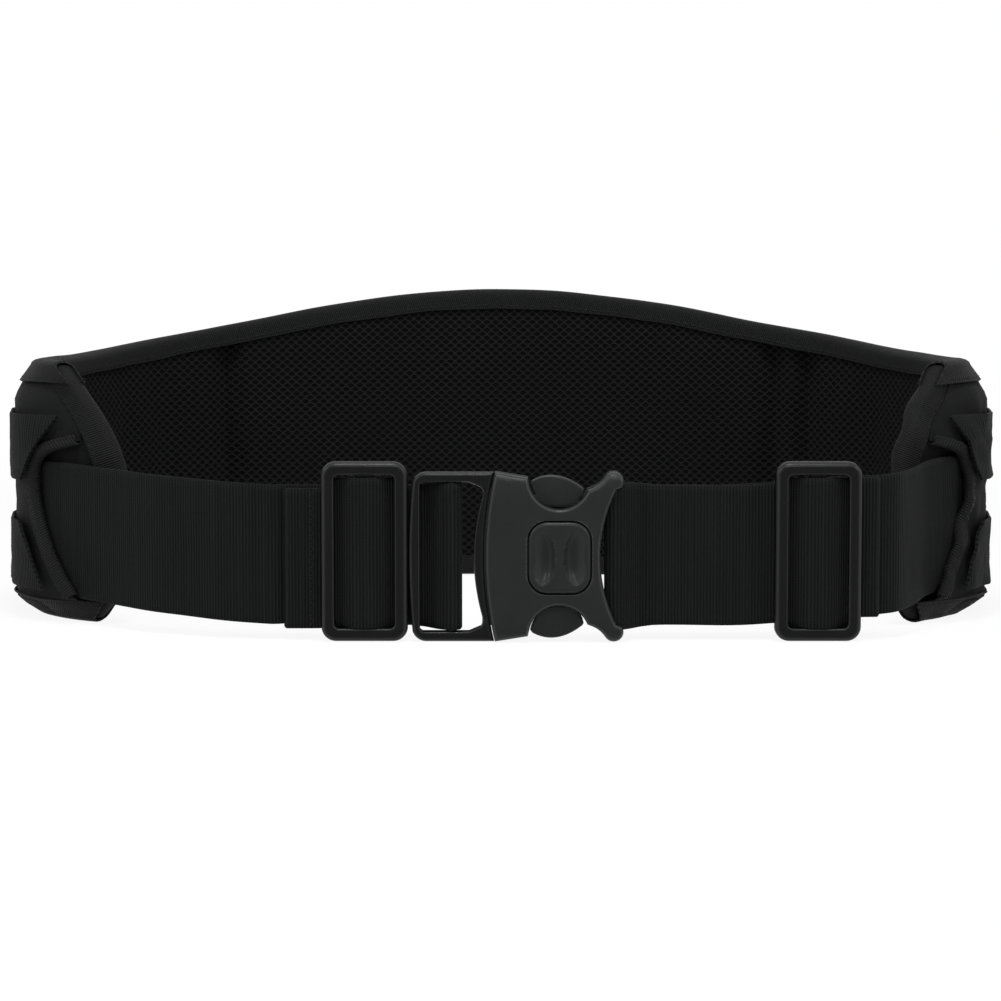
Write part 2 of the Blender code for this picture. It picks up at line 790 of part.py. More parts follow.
def prong(name, sign):
    """A flexing side prong whose crowned head fills the side cut-out."""
    plastic = moulded_plastic()
    tip, arm_top = PRONG_TIP_X, PRONG_INNER + PRONG_ARM
    points = [(PRONG_ROOT_X, PRONG_INNER), (PRONG_WINDOW_X / 2, PRONG_INNER)]
    points += [(tip - PRONG_CHAMFER * 2, PRONG_HEAD_INNER), (tip, PRONG_HEAD_INNER + PRONG_CHAMFER * 2)]
    points.append((tip, PRONG_HEAD_INNER + PRONG_TIP_HEIGHT))
    crown = BUCKLE_MIDDLE_Z - PRONG_CROWN
    room = PRONG_WINDOW_RADIUS - PRONG_CLEARANCE
    span = math.degrees(math.asin((room - PRONG_CLEARANCE) / PRONG_CROWN_RADIUS))
    points += arc(PRONG_WINDOW_X, crown - PRONG_CROWN_RADIUS, PRONG_CROWN_RADIUS, 90 - span, 90 + span, 8)
    below = PRONG_WINDOW_AWAY - arm_top
    points.append((PRONG_WINDOW_X - math.sqrt(room**2 - below**2), arm_top))
    points.append((PRONG_ROOT_X, arm_top))
    low = BUCKLE_MIDDLE_V - PRONG_THICKNESS / 2
    outline = from_middle(points, sign)
    made = plate(name, outline, low, low + PRONG_THICKNESS, plastic, PRONG_CHAMFER, PRONG_CHAMFER)
    root = BUCKLE_MIDDLE_Z + sign * (PRONG_INNER + PRONG_ARM / 2)
    place_on_axis(made, (PRONG_ROOT_X, FRONT_Y - BUCKLE_MIDDLE_V, root))
    return made


def button_outline(grow):
    """The push button's rounded square, or with grow the window round it."""
    return rounded_outline(
        BUTTON_X - BUTTON_WIDTH / 2 - grow,
        BUTTON_X + BUTTON_WIDTH / 2 + grow,
        BUCKLE_MIDDLE_Z - BUTTON_HEIGHT / 2 - grow,
        BUCKLE_MIDDLE_Z + BUTTON_HEIGHT / 2 + grow,
        BUTTON_CORNER + grow,
        5,
    )


def centre_button():
    """The centre tongue and its push button, with a ridge between two finger dents."""
    plastic = moulded_plastic()
    half = TONGUE_HEIGHT / 2
    high = BUCKLE_MIDDLE_V + CAVITY_HALF - TONGUE_CLEARANCE
    tongue = rounded_outline(
        PRONG_ROOT_X, TONGUE_TIP_X, BUCKLE_MIDDLE_Z - half, BUCKLE_MIDDLE_Z + half, WINDOW_CORNER, 2
    )
    made = plate("centre_button", tongue, high - TONGUE_THICKNESS, high, plastic, PRONG_CHAMFER, PRONG_CHAMFER)
    top = SOCKET_FRONT_V + BUTTON_PROUD
    pad = plate("button_pad", button_outline(0.0), high - GAP, top, plastic, FRONT_CHAMFER)
    combine(made, pad, "UNION")
    away = (RIDGE_WIDTH + DENT_WIDTH) / 2
    for label, x in (("left", BUTTON_X - away), ("right", BUTTON_X + away)):
        radii = (DENT_WIDTH / 2, 2 * DENT_DEPTH, DENT_HEIGHT / 2)
        dent = ellipsoid("button_dent_" + label, (x, top + DENT_DEPTH, BUCKLE_MIDDLE_Z), radii, plastic)
        combine(made, dent, "DIFFERENCE")
    place_on_axis(made, (PRONG_ROOT_X, FRONT_Y - BUCKLE_MIDDLE_V, BUCKLE_MIDDLE_Z))
    return made


def ellipsoid(name, centre, radii, surface):
    """A cutter with half sizes radii along x, v and z."""
    shape = bmesh.new()
    bmesh.ops.create_uvsphere(shape, u_segments=16, v_segments=8, radius=1.0)
    for vertex in shape.verts:
        x, v, z = (c * r for c, r in zip(vertex.co, radii))
        vertex.co = (centre[0] + x, FRONT_Y - centre[1] - v, centre[2] + z)
    bmesh.ops.recalc_face_normals(shape, faces=shape.faces)
    mesh = bpy.data.meshes.new(name)
    shape.to_mesh(mesh)
    shape.free()
    mesh.materials.append(surface)
    made = bpy.data.objects.new(name, mesh)
    bpy.context.scene.collection.objects.link(made)
    return made


def socket_side():
    """The upper half of the socket's outline, from the middle of its right edge round to its left edge."""
    horn_away = BUCKLE_HEIGHT / 2 - HORN_RADIUS
    fork = horn_away - HORN_RADIUS
    right = []
    for i in range(5):
        away = fork * i / 4
        right.append((SOCKET_RIGHT + SOCKET_WAIST * (away / fork) ** 2, away))
    roll = arc(HORN_X, horn_away, HORN_RADIUS, -30, 150, 7)
    cut = arc(PRONG_WINDOW_X, PRONG_WINDOW_AWAY, PRONG_WINDOW_RADIUS, -35, -170, 9)
    start, end = Vector(roll[-1]), Vector(cut[0])
    neck = [tuple(start.lerp(end, share)) for share in (1 / 3, 2 / 3)]
    shoulder = (SHOULDER_X - FRONT_CHAMFER, BUCKLE_HEIGHT / 2 - SHOULDER_DROP)
    left = bowed_edge(SOCKET_LEFT, ARC_BULGE, 0.0, BUCKLE_HEIGHT)
    upper_left = [(x, z - BUCKLE_MIDDLE_Z) for x, z in left if z > BUCKLE_MIDDLE_Z][::-1]
    return right + roll + neck + cut + [shoulder] + upper_left


def buckle_socket():
    """The socket: a hollow body open at its left, with horned ends, side cut-outs and a rear bar."""
    plastic = moulded_plastic()
    side = socket_side()
    bow = (SOCKET_LEFT - ARC_BULGE, 0.0)
    outline = from_middle(side, 1) + from_middle(side[1:] + [bow], -1)
    body = plate(
        "buckle_socket", outline, SOCKET_BACK_V, SOCKET_FRONT_V, plastic, FRONT_CHAMFER, BACK_CHAMFER
    )
    cavity = plate(
        "socket_cavity",
        box_outline(-CUTTER_REACH, CAVITY_RIGHT, CAVITY_MARGIN, BUCKLE_HEIGHT - CAVITY_MARGIN),
        BUCKLE_MIDDLE_V - CAVITY_HALF,
        BUCKLE_MIDDLE_V + CAVITY_HALF,
        plastic,
    )
    combine(body, cavity, "DIFFERENCE")
    low = STRAP_CENTRE_FRONT - WEBBING_WIDTH / 2 - STRAP_POCKET_ROOM
    high = STRAP_CENTRE_FRONT + WEBBING_WIDTH / 2 + STRAP_POCKET_ROOM
    wrapped = BUCKLE_MIDDLE_V + BAR_RADIUS + WEBBING + 2 * GAP
    pocket = box_outline(STRAP_POCKET_LEFT, STRAP_POCKET_LEFT + CUTTER_REACH, low, high)
    combine(body, plate("socket_strap_pocket", pocket, -CUTTER_REACH, wrapped, plastic), "DIFFERENCE")
    window = plate(
        "socket_button_window", button_outline(BUTTON_CLEARANCE), BUCKLE_MIDDLE_V, CUTTER_REACH, plastic
    )
    combine(body, window, "DIFFERENCE")
    rear = bar("socket_rear_bar", SOCKET_BAR_X, BUCKLE_MIDDLE_V, BAR_RADIUS, low - BITE, high + BITE, plastic)
    combine(body, rear, "UNION")
    return body


# ---------------------------------------------------------------- the whole belt


def build():
    clear_scene()
    mesh_lining()
    seam = SEAM_WIDTH / 2
    foam_cushion("back_cushion", -SEAM_AT + seam, SEAM_AT - seam)
    foam_cushion("left_cushion", -PAD_END, -SEAM_AT - seam)
    foam_cushion("right_cushion", SEAM_AT + seam, PAD_END)
    pad_backing()
    sleeve_cover()
    edge_binding("top_binding", True)
    edge_binding("bottom_binding", False)
    for name, side in (("left", -1), ("right", 1)):
        end_binding(name + "_end_binding", side)
        mouth_binding(name + "_mouth_binding", side)
    load_webbing("upper_load_webbing", LOAD_ROW_UPPER)
    load_webbing("lower_load_webbing", LOAD_ROW_LOWER)
    belt_webbing()
    strap_end("left_strap", -1, LEFT_BEND_X, LEFT_SLIDER_X, PLUG_BAR_X, LEFT_TAIL_X)
    strap_end("right_strap", 1, RIGHT_BEND_X, RIGHT_SLIDER_X, SOCKET_BAR_X, RIGHT_TAIL_X)
    slider("left_slider", LEFT_SLIDER_X)
    slider("right_slider", RIGHT_SLIDER_X)
    buckle_plug()
    prong("upper_prong", 1)
    prong("lower_prong", -1)
    centre_button()
    buckle_socket()


build()
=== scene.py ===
# %% [markdown]
# A padded waist belt, dressed in Blender
#
# The belt is a tall padded band that stands on its lower edge, with a webbing strap sewn into a sleeve round it.
# The strap comes out of the sleeve at both ends and closes in front with two sliders and a side-release buckle.
# The solid model under this lesson fixes every size and every joint. Here each soft piece gets its real surface,
# with its weave, its stitches and its folds, and each moulded piece gets its satin finish.

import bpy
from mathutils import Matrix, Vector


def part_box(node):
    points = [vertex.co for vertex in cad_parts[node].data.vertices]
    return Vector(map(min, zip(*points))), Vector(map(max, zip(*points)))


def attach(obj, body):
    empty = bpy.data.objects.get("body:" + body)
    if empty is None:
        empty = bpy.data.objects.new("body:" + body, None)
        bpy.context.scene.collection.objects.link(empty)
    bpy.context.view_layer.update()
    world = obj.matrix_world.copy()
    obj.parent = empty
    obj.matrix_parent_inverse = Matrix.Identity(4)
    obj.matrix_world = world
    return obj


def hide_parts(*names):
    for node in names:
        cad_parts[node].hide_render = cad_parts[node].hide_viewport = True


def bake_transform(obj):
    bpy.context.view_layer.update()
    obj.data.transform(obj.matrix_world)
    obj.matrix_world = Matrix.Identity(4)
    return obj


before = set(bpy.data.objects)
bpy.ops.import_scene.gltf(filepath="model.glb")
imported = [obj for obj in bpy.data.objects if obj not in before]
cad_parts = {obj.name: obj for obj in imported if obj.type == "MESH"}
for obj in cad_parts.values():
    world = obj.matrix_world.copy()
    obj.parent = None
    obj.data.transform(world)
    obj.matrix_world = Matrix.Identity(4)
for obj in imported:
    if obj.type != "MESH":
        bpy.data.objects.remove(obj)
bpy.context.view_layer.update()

# %% The tools of this lesson
import math

import bmesh
import bpy
import numpy as np
from mathutils import Vector, geometry, noise

scene = bpy.context.scene


def shown(name, data, place=(0.0, 0.0, 0.0)):
    """An object that shows the data in the scene."""
    made = bpy.data.objects.new(name, data)
    made.location = place
    scene.collection.objects.link(made)
    return made


# %% [markdown]
# Camera and light
#
# The belt is shown as in a catalogue: from the buckle's side, a little above its upper edge, on a white ground.
# Black cloth only shows its weave when light grazes it, so a large soft lamp stands high on each side and a
# weaker one lights the front. The ground glows white for the camera alone and still takes the belt's shadow.

# %% The camera
LOOKS_DOWN = 4.8
lens = bpy.data.cameras.new("catalogue_view")
lens.sensor_width, lens.lens = 36.0, 102.5
scene.camera = shown("catalogue_view", lens, (0.0, -1.120, 0.1347))
scene.camera.rotation_euler = (math.radians(90.0 - LOOKS_DOWN), 0.0, 0.0)

# %% The lamps: square, each at a place and turned toward a point
LAMPS = {
    "lamp_above": ((0.0, -0.42, 1.20), (0.0, 0.0, 0.05), 0.33, 10.0),
    "lamp_left": ((-1.10, -0.60, 0.80), (0.0, -0.05, 0.05), 0.30, 4.0),
    "lamp_right": ((1.10, -0.60, 0.80), (0.0, -0.05, 0.05), 0.30, 4.0),
    "lamp_front": ((0.10, -1.45, 1.00), (0.0, -0.05, 0.05), 0.28, 6.5),
}
for name, (place, aim, size, power) in LAMPS.items():
    light = bpy.data.lights.new(name, "AREA")
    light.shape, light.size, light.energy = "SQUARE", size, power
    turn = (Vector(aim) - Vector(place)).to_track_quat("-Z", "Y")
    shown(name, light, place).rotation_euler = turn.to_euler()
print("lamps:", len(LAMPS))

# %% [markdown]
# Formulas for finishes
#
# Each weave is a formula: ribs are a wave along the strap, and the holes of the air mesh are a lattice of
# diamonds. The small class below wraps a socket of a tree of nodes, so that a sum or a product of two of them adds
# the node that works it out, and the pattern can be read as the formula that it is.


# %% A socket that takes part in sums
def operator(operation, swapped=False):
    """A method that works out one operation on a wire and another value."""
    return lambda self, other: self.nodes.maths(operation, *((other, self) if swapped else (self, other)))


class Wire:
    """One value in a tree of nodes, which can be added, multiplied and so on."""

    def __init__(self, nodes, socket):
        self.nodes, self.socket = nodes, socket

    __add__ = __radd__ = operator("ADD")
    __mul__ = __rmul__ = operator("MULTIPLY")
    __sub__, __rsub__ = operator("SUBTRACT"), operator("SUBTRACT", swapped=True)
    __truediv__ = operator("DIVIDE")


# %% A tree of nodes that is built one line at a time
class Nodes:
    """A node tree. Its methods add nodes and give back their values."""

    def __init__(self, tree):
        self.tree = tree

    def feed(self, socket, value):
        if isinstance(value, Wire):
            self.tree.links.new(value.socket, socket)
        else:
            socket.default_value = value

    def node(self, kind, inputs={}, output=0, **settings):
        made = self.tree.nodes.new(kind)
        for name, value in settings.items():
            setattr(made, name, value)
        for key, value in inputs.items():
            self.feed(made.inputs[key], value)
        return Wire(self, made.outputs[output]) if made.outputs else None

    def maths(self, operation, *values):
        return self.node("ShaderNodeMath", dict(enumerate(values)), operation=operation)

    def seen(self):
        """1 for the rays that show a thing, straight, mirrored or through a gap, and 0 for those that light it."""
        kinds = ("Camera", "Glossy", "Transmission")
        seen, *others = [self.node("ShaderNodeLightPath", output="Is %s Ray" % kind) for kind in kinds]
        for other in others:
            seen = self.maths("MAXIMUM", seen, other)
        return seen


# %% A finish
class Finish(Nodes):
    """A material and the nodes that make its pattern."""

    def __init__(self, name, roughness, sheen=0.0, specular=0.5):
        self.material = bpy.data.materials.new(name)
        self.material.use_nodes = True
        super().__init__(self.material.node_tree)
        self.shader = self.tree.nodes["Principled BSDF"]
        self.shader.inputs["Roughness"].default_value = roughness
        self.shader.inputs["Sheen Weight"].default_value = sheen
        self.shader.inputs["Sheen Roughness"].default_value = 0.45
        self.shader.inputs["Specular IOR Level"].default_value = specular

    def step(self, value, low, high):
        """0 below low and 1 above high, with a smooth rise between them."""
        limits = {"Value": value, "From Min": low, "From Max": high}
        return self.node("ShaderNodeMapRange", limits, interpolation_type="SMOOTHSTEP")

    def wave(self, value, pitch):
        """A ridge of height 1 at every pitch."""
        return 0.5 + 0.5 * self.maths("COSINE", value * (2 * math.pi / pitch))

    def noise(self, place, scale, detail=2.0):
        return self.node("ShaderNodeTexNoise", {"Vector": place, "Scale": scale, "Detail": detail})

    def mix(self, share, first, second):
        return self.node("ShaderNodeMix", {0: share, 6: first, 7: second}, 2, data_type="RGBA")

    def colour(self, value):
        self.feed(self.shader.inputs["Base Color"], value)

    def relief(self, height, depth):
        bumped = self.node("ShaderNodeBump", {"Height": height, "Distance": depth, "Strength": 1.0})
        self.feed(self.shader.inputs["Normal"], bumped)

    def woven_with_painted_shade(self, height, depth, share, slow, low, colours):
        """Relief of a depth, and a colour from the first to the second: painted shade darkens the low yarn and pales
        the high yarn, and a slower pattern varies the tone at random.
        """
        self.relief(height, depth)
        # The colour rises with the height of the weave: painted shade in its grooves, mixed with a random tone.
        self.colour(self.mix(self.step(share * height + (1 - share) * slow, low, 1 - low), *colours))
        return self.material

    def along_and_across(self):
        """The piece's own map, and on it the metres along the piece and the metres across it."""
        place = self.node("ShaderNodeUVMap", uv_map="belt")
        return place, *(self.node("ShaderNodeSeparateXYZ", {0: place}, axis) for axis in "XY")

    def object_place(self):
        return self.node("ShaderNodeTexCoord", output="Object")


def grey(value, tint=0.0):
    """A near-neutral colour; tint makes it a little bluer."""
    return (value, value * (1 + tint / 2), value * (1 + tint), 1.0)


# %% [markdown]
# The weaves
#
# The strap is a heavy webbing whose weft stands up in fine ribs across its width. The load webbing behind is
# the same yarn in a narrow width. The sleeve is pack cloth, a plain weave of coarse yarn that looks sandy from
# afar. The edges are folded into a ribbed binding tape, and the side against the body is a spacer mesh with
# staggered diamond holes. All are black, so they differ by relief, by how much light their yarn throws back,
# and by painted shade: the low parts of each weave and the mesh's holes are painted darker.


# %% Webbing
def webbing_finish(name, rib_pitch, base):
    finish = Finish(name, 0.60, sheen=0.01, specular=0.03)
    place, along, across = finish.along_and_across()
    ribs = finish.wave(along + 0.00035 * finish.noise(place, 90.0), rib_pitch)
    height = 0.62 * ribs + 0.23 * finish.wave(across, 0.0011) * ribs + 0.25 * finish.noise(place, 2400.0)
    stretched = finish.node("ShaderNodeMapping", {"Vector": place, "Scale": (900.0, 14.0, 1.0)})
    streaks = finish.noise(stretched, 1.0, 3.0)
    return finish.woven_with_painted_shade(height, 0.00035, 0.55, streaks, 0.15, (grey(base * 0.45, 0.08), grey(base * 1.30, 0.08)))


STRAP = webbing_finish("strap_webbing", 0.00115, 0.0092)
LOAD = webbing_finish("load_webbing", 0.00095, 0.0095)


# %% Pack cloth
def pack_cloth_finish(pitch=0.00062):
    finish = Finish("pack_cloth", 0.66, sheen=0.01, specular=0.03)
    place, along, across = finish.along_and_across()
    checker = finish.wave(along, pitch) * finish.wave(across, pitch)
    other = finish.wave(along + pitch / 2, pitch) * finish.wave(across + pitch / 2, pitch)
    height = 0.7 * finish.maths("MAXIMUM", checker, other) + 0.4 * finish.noise(place, 1700.0)
    wear = finish.noise(finish.object_place(), 26.0, 4.0)
    return finish.woven_with_painted_shade(height, 0.00022, 0.5, wear, 0.20, (grey(0.0048, 0.05), grey(0.0120, 0.05)))


PACK_CLOTH = pack_cloth_finish()


# %% Binding tape
def binding_finish(name, pitch, depth):
    finish = Finish(name, 0.58, sheen=0.01, specular=0.05)
    place, along, across = finish.along_and_across()
    height = 0.75 * finish.wave(along + 0.35 * across, pitch) + 0.3 * finish.noise(place, 1900.0)
    dust = finish.noise(finish.object_place(), 40.0, 4.0)
    return finish.woven_with_painted_shade(height, depth, 0.6, dust, 0.15, (grey(0.0052, 0.05), grey(0.0135, 0.05)))


BINDING = binding_finish("binding_tape", 0.00085, 0.00030)
CORDED = binding_finish("corded_tape", 0.00095, 0.00034)


# %% Spacer mesh with staggered holes, painted dark as their shade
def air_mesh_finish(pitch_along=0.0039, pitch_up=0.00334):
    finish = Finish("air_mesh", 0.75, sheen=0.01, specular=0.03)
    place, along, across = finish.along_and_across()

    def holes(shift):
        a = finish.maths("PINGPONG", along / pitch_along + shift, 0.5) * 2.0
        b = finish.maths("PINGPONG", across / pitch_up + shift, 0.5) * 2.0
        spread = finish.maths("POWER", a / 0.66, 1.6) + finish.maths("POWER", b / 0.56, 1.6)
        return 1.0 - finish.step(spread, 0.55, 1.15)

    hole = finish.maths("MAXIMUM", holes(0.0), holes(0.5))
    finish.relief(1.0 - hole + 0.22 * finish.noise(place, 1500.0), 0.0008)
    patch = finish.noise(finish.object_place(), 30.0, 3.0)
    net = finish.mix(patch, grey(0.0066, 0.03), grey(0.0100, 0.03))
    # The holes are painted nearly black as the shade of their depth, over the net's own random tone.
    finish.colour(finish.mix(hole, net, grey(0.0016)))
    return finish.material


AIR_MESH = air_mesh_finish()

# %% Thread
thread = Finish("thread", 0.6, specular=0.08)
twist = thread.noise(thread.object_place(), 2500.0, 1.0)
thread.relief(twist, 0.0001)
# The colour follows the twist's relief: painted shade darkens its low parts.
thread.colour(thread.mix(twist, grey(0.0045), grey(0.0130)))


# %% Moulded plastic
def plastic_finish(name, base, roughness):
    finish = Finish(name, roughness, specular=0.10)
    place = finish.object_place()
    grain, flow = finish.noise(place, 2600.0, 3.0), finish.noise(place, 60.0, 4.0)
    finish.relief(grain, 0.00005)
    finish.feed(finish.shader.inputs["Roughness"], roughness - 0.04 + 0.07 * flow + 0.04 * grain)
    body = finish.mix(flow, grey(base * 0.8, 0.06), grey(base * 1.25, 0.06))
    # The marked front rims are painted paler here: a painted highlight, not a colour of the plastic.
    painted_rim_highlight = finish.node("ShaderNodeAttribute", {}, 2, attribute_name="painted_rim_highlight")
    finish.colour(finish.mix(painted_rim_highlight, body, grey(base * 1.3 + 0.022, 0.06)))
    return finish.material


FRAME_PLASTIC = plastic_finish("frame_plastic", 0.0034, 0.21)
SHELL_PLASTIC = plastic_finish("shell_plastic", 0.0135, 0.28)
print("finishes:", len(bpy.data.materials))

# %% [markdown]
# The belt's plan
#
# Seen from above, the band is a chain of four arcs on each side: nearly straight over the back, a corner, a
# side, and an end that curls in toward the buckle. A point of the band is given by s, the distance along its
# inner face from the middle of the back, by v, the distance outward from that face, and by w, the share of the
# band's height. The upper edge rises to a crown in the middle of the back. The right end is kinked and creased.

# %% Sizes shared with the solid model
STRETCHES = ((0.127, 19.0), (0.045, 44.0), (0.065, 25.0), (0.066, 73.0))
KINKED = STRETCHES[:-1] + ((0.034, 37.6), (0.032, 5.0))
PAD_END = sum(length for length, turn in STRETCHES)
CURL_START = PAD_END - STRETCHES[-1][0]
LINING = 0.0015
BACK_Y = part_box("mesh_lining")[1].y - LINING
HEIGHT_BACK, HEIGHT_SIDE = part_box("top_binding")[1].z, 0.097
CROWN_HALF_LENGTH = 0.210
GAP = 0.0003
WEBBING = 0.0018
FOAM, FOAM_EDGE, FOAM_SLOPE = 0.0060, 0.0015, 0.020
BEVEL = 0.14
TAPE, TAPE_DEPTH = 0.0007, 0.0080
COVER = BACKING = 0.0010
STRAP_V = LINING + FOAM + BACKING + 3 * GAP
COVER_V = STRAP_V + WEBBING + GAP + TAPE + 0.0008
EDGE_COVER_V = LINING + FOAM_EDGE + BACKING + 4 * GAP + TAPE
SIDES = {"left": -1, "right": 1}
print("band: %.0f mm round, %.0f mm high at the back" % (2000 * PAD_END, 1000 * HEIGHT_BACK))


# %% Easing and unevenness
def clamp(value, low=0.0, high=1.0):
    return max(low, min(high, value))


def smooth(value):
    t = clamp(value)
    return t * t * (3 - 2 * t)


def unevenness(x, y, size, seed):
    """A slow random wave between -1 and 1, the same on every run."""
    return noise.noise(Vector((x / size, y / size, seed)))


# %% A point of the band
def plan(s):
    """The band's inner face at s, in plan, and the direction outward."""
    side = -1.0 if s < 0 else 1.0
    left, x, y, heading = abs(s), 0.0, BACK_Y, 0.0
    for length, turn in KINKED if s > 0 else STRETCHES:
        bend = math.radians(turn) * min(left, length) / length
        radius = length / math.radians(turn)
        x += radius * (math.sin(heading + bend) - math.sin(heading))
        y -= radius * (math.cos(heading) - math.cos(heading + bend))
        heading += bend
        left -= min(left, length)
    x += left * math.cos(heading)
    y -= left * math.sin(heading)
    return x * side, y, math.sin(heading) * side, math.cos(heading)


CREASES_START, CREASE = 0.252, 0.0024


def creased(s, z):
    """How far the crumpled right end of the band is pushed out of its smooth course."""
    return CREASE * smooth((s - CREASES_START) / 0.025) * unevenness(s, z, 0.0135, seed=14.0)


def on_band(s, v, z):
    x, y, out_x, out_y = plan(s)
    v += creased(s, z)
    return Vector((x + out_x * v, y + out_y * v, z))


# %% The band's outline
CLOTH_INSET = 0.001
NOSE_TOP, NOSE_FOOT = 0.030, 0.012
BAY_DEEPEST, BAY_AT = 0.2715, 0.52


def band_height(s):
    crown = 0.5 + 0.5 * math.cos(math.pi * clamp(abs(s) / CROWN_HALF_LENGTH))
    return HEIGHT_SIDE + (HEIGHT_BACK - HEIGHT_SIDE) * crown


def level(s, w):
    """Height of the share w of the cloth, which ends inside the fold of the bindings."""
    return CLOTH_INSET + w * (band_height(s) - 2 * CLOTH_INSET)


def share_at(s, z):
    """The share of the cloth's height that lies at the height z."""
    return (z - CLOTH_INSET) / (band_height(s) - 2 * CLOTH_INSET)


def nose(w):
    """How far the band reaches round the waist at the share w of its height; it draws back at its top and foot."""
    above, below = clamp((w - 0.50) / 0.50), clamp((BEVEL - w) / BEVEL)
    return PAD_END - NOSE_TOP * above**2 - NOSE_FOOT * below


def bay(w):
    """The edge of the C-shaped bay in the cover: a long slope below the strap and a tight turn above it."""
    if w < BAY_AT:
        return BAY_DEEPEST + 0.0185 * ((BAY_AT - w) / 0.435) ** 1.6
    return BAY_DEEPEST + 0.0225 * ((w - BAY_AT) / 0.20) ** 4


def mouth(w):
    """Where the sleeve's cover ends: at the end tape, or at the bay that leaves room for the strap."""
    return min(nose(w) - TAPE_DEPTH - GAP, bay(w))


def reach(t, end):
    """Draws the column t in or out, so that the last one lies on the band's end."""
    beyond = abs(t) - CURL_START
    if beyond <= 0:
        return t
    return math.copysign(CURL_START + beyond * (end - CURL_START) / (PAD_END - CURL_START), t)


def foam_at(s, w):
    edge = clamp(min(w, 1 - w) / BEVEL)
    held = clamp((nose(w) - abs(s)) / FOAM_SLOPE)
    return FOAM_EDGE + (FOAM - FOAM_EDGE) * edge * held


# %% [markdown]
# Closed shells from grids
#
# Cloth, foam and webbing are all thin closed shells here. Two grids of points, one for each face, are joined
# round their four edges. Each shell also gets its own map in metres, along and across, and the weaves follow
# that map, so that the ribs of a strap turn with it round a bar.


# %% A piece from points and faces
def piece_of(name, points, faces, places, finish):
    """A mesh piece with outward faces, smooth shading and its map."""
    mesh = bpy.data.meshes.new(name)
    mesh.from_pydata([tuple(p) for p in points], [], faces)
    layer = mesh.uv_layers.new(name="belt")
    for loop in mesh.loops:
        layer.data[loop.index].uv = places[loop.vertex_index]
    shape = bmesh.new()
    shape.from_mesh(mesh)
    bmesh.ops.recalc_face_normals(shape, faces=shape.faces)
    shape.to_mesh(mesh)
    shape.free()
    mesh.shade_smooth()
    mesh.set_sharp_from_angle(angle=math.radians(50))
    mesh.materials.append(finish)
    return shown(name, mesh)


def report(piece):
    print("%-24s %6d faces" % (piece.name, len(piece.data.polygons)))


# %% A shell and its map
def shell(name, columns, finish):
    """columns hold triples: a point of the inner face, the point of the outer face and the place on the map."""
    across, rows = len(columns), len(columns[0])
    count = across * rows
    faces = []
    for c in range(across - 1):
        for r in range(rows - 1):
            a, b = c * rows + r, (c + 1) * rows + r
            faces.append((a, b, b + 1, a + 1))
            faces.append((count + a, count + a + 1, count + b + 1, count + b))
    for c in range(across - 1):
        for r in (0, rows - 1):
            a, b = c * rows + r, (c + 1) * rows + r
            faces.append((a, b, count + b, count + a) if r else (a, count + a, count + b, b))
    for r in range(rows - 1):
        for c in (0, across - 1):
            a = c * rows + r
            faces.append((a, count + a, count + a + 1, a + 1) if c else (a, a + 1, count + a + 1, count + a))
    inner, outer, places = zip(*(triple for column in columns for triple in column))
    return piece_of(name, inner + outer, faces, places + places, finish)


def steps(low, high, size):
    """Evenly spaced values from low to high, about size apart."""
    count = max(1, round((high - low) / size))
    return [low + (high - low) * i / count for i in range(count + 1)]


def band_sheet(name, columns, rows, end, faces_at, finish):
    """A shell of the band out to end(w) on both sides, with its faces at the two v values of faces_at(s, w)."""

    def triple(t, w):
        s = reach(t, end(w))
        z = level(s, w)
        return *(on_band(s, v, z) for v in faces_at(s, w)), (s, z)

    return shell(name, [[triple(t, w) for w in rows] for t in columns], finish)


def soft(piece, replaced, flat, held, *rests_on, body="belt", **more):
    """Attaches a soft piece to its body, hides the solid it stands for and reports it; what it rests on and how its
    cloth was cut (rests_on, flat, held, more) are not used.
    """
    if body:
        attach(piece, body)
    if replaced:
        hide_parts(replaced)
    report(piece)


# %% [markdown]
# The padded lining
#
# The side against the body is spacer mesh over foam, sewn down in vertical channels where the band bends round
# the waist. The real pad swells between its seams, because the foam pushes the mesh out. Cloth simulation makes
# the same form: the shell is held at its hems and channels, a pressure inside pushes the free mesh outward, and
# the distance that a point may move is capped. The channels are at the same places as in the solid model.

# %% The shell before it swells
CHANNELS = (-0.117, 0.117, 0.131)
CHANNEL_HALF, CHANNEL_DIP = 0.006, 0.0048


def lining_faces(s, w):
    """The inner face dips toward the foam in the sewn channels."""
    channel = max(1.0 - smooth(abs(s - at) / CHANNEL_HALF) for at in CHANNELS)
    return CHANNEL_DIP * channel * clamp(min(w, 1 - w) / 0.10), LINING + GAP + foam_at(s, w)


lining_columns = sorted(set(steps(-PAD_END, PAD_END, 0.0045)) | set(CHANNELS))
lining_rows = steps(0.0, 1.0, 1 / 26)
lining = band_sheet("padded_lining", lining_columns, lining_rows, nose, lining_faces, AIR_MESH)
report(lining)

# %% Swelling between the seams
HELD_HALF, HELD_HEM = 0.0035, 0.009
PRESSURE, SWELLS_AT_MOST = 4.0, 0.0032
FRAMES = 20


def lining_hold():
    """The numbers of the points that are sewn down, and of the whole outer face."""
    held = []
    for i, (t, w) in enumerate((t, w) for t in lining_columns for w in lining_rows):
        hem = min(w * 0.1, (1 - w) * 0.1, nose(w) - abs(reach(t, nose(w))))
        if hem < HELD_HEM or min(abs(t - at) for at in CHANNELS) < HELD_HALF:
            held.append(i)
    return held + list(range(i + 1, 2 * (i + 1)))


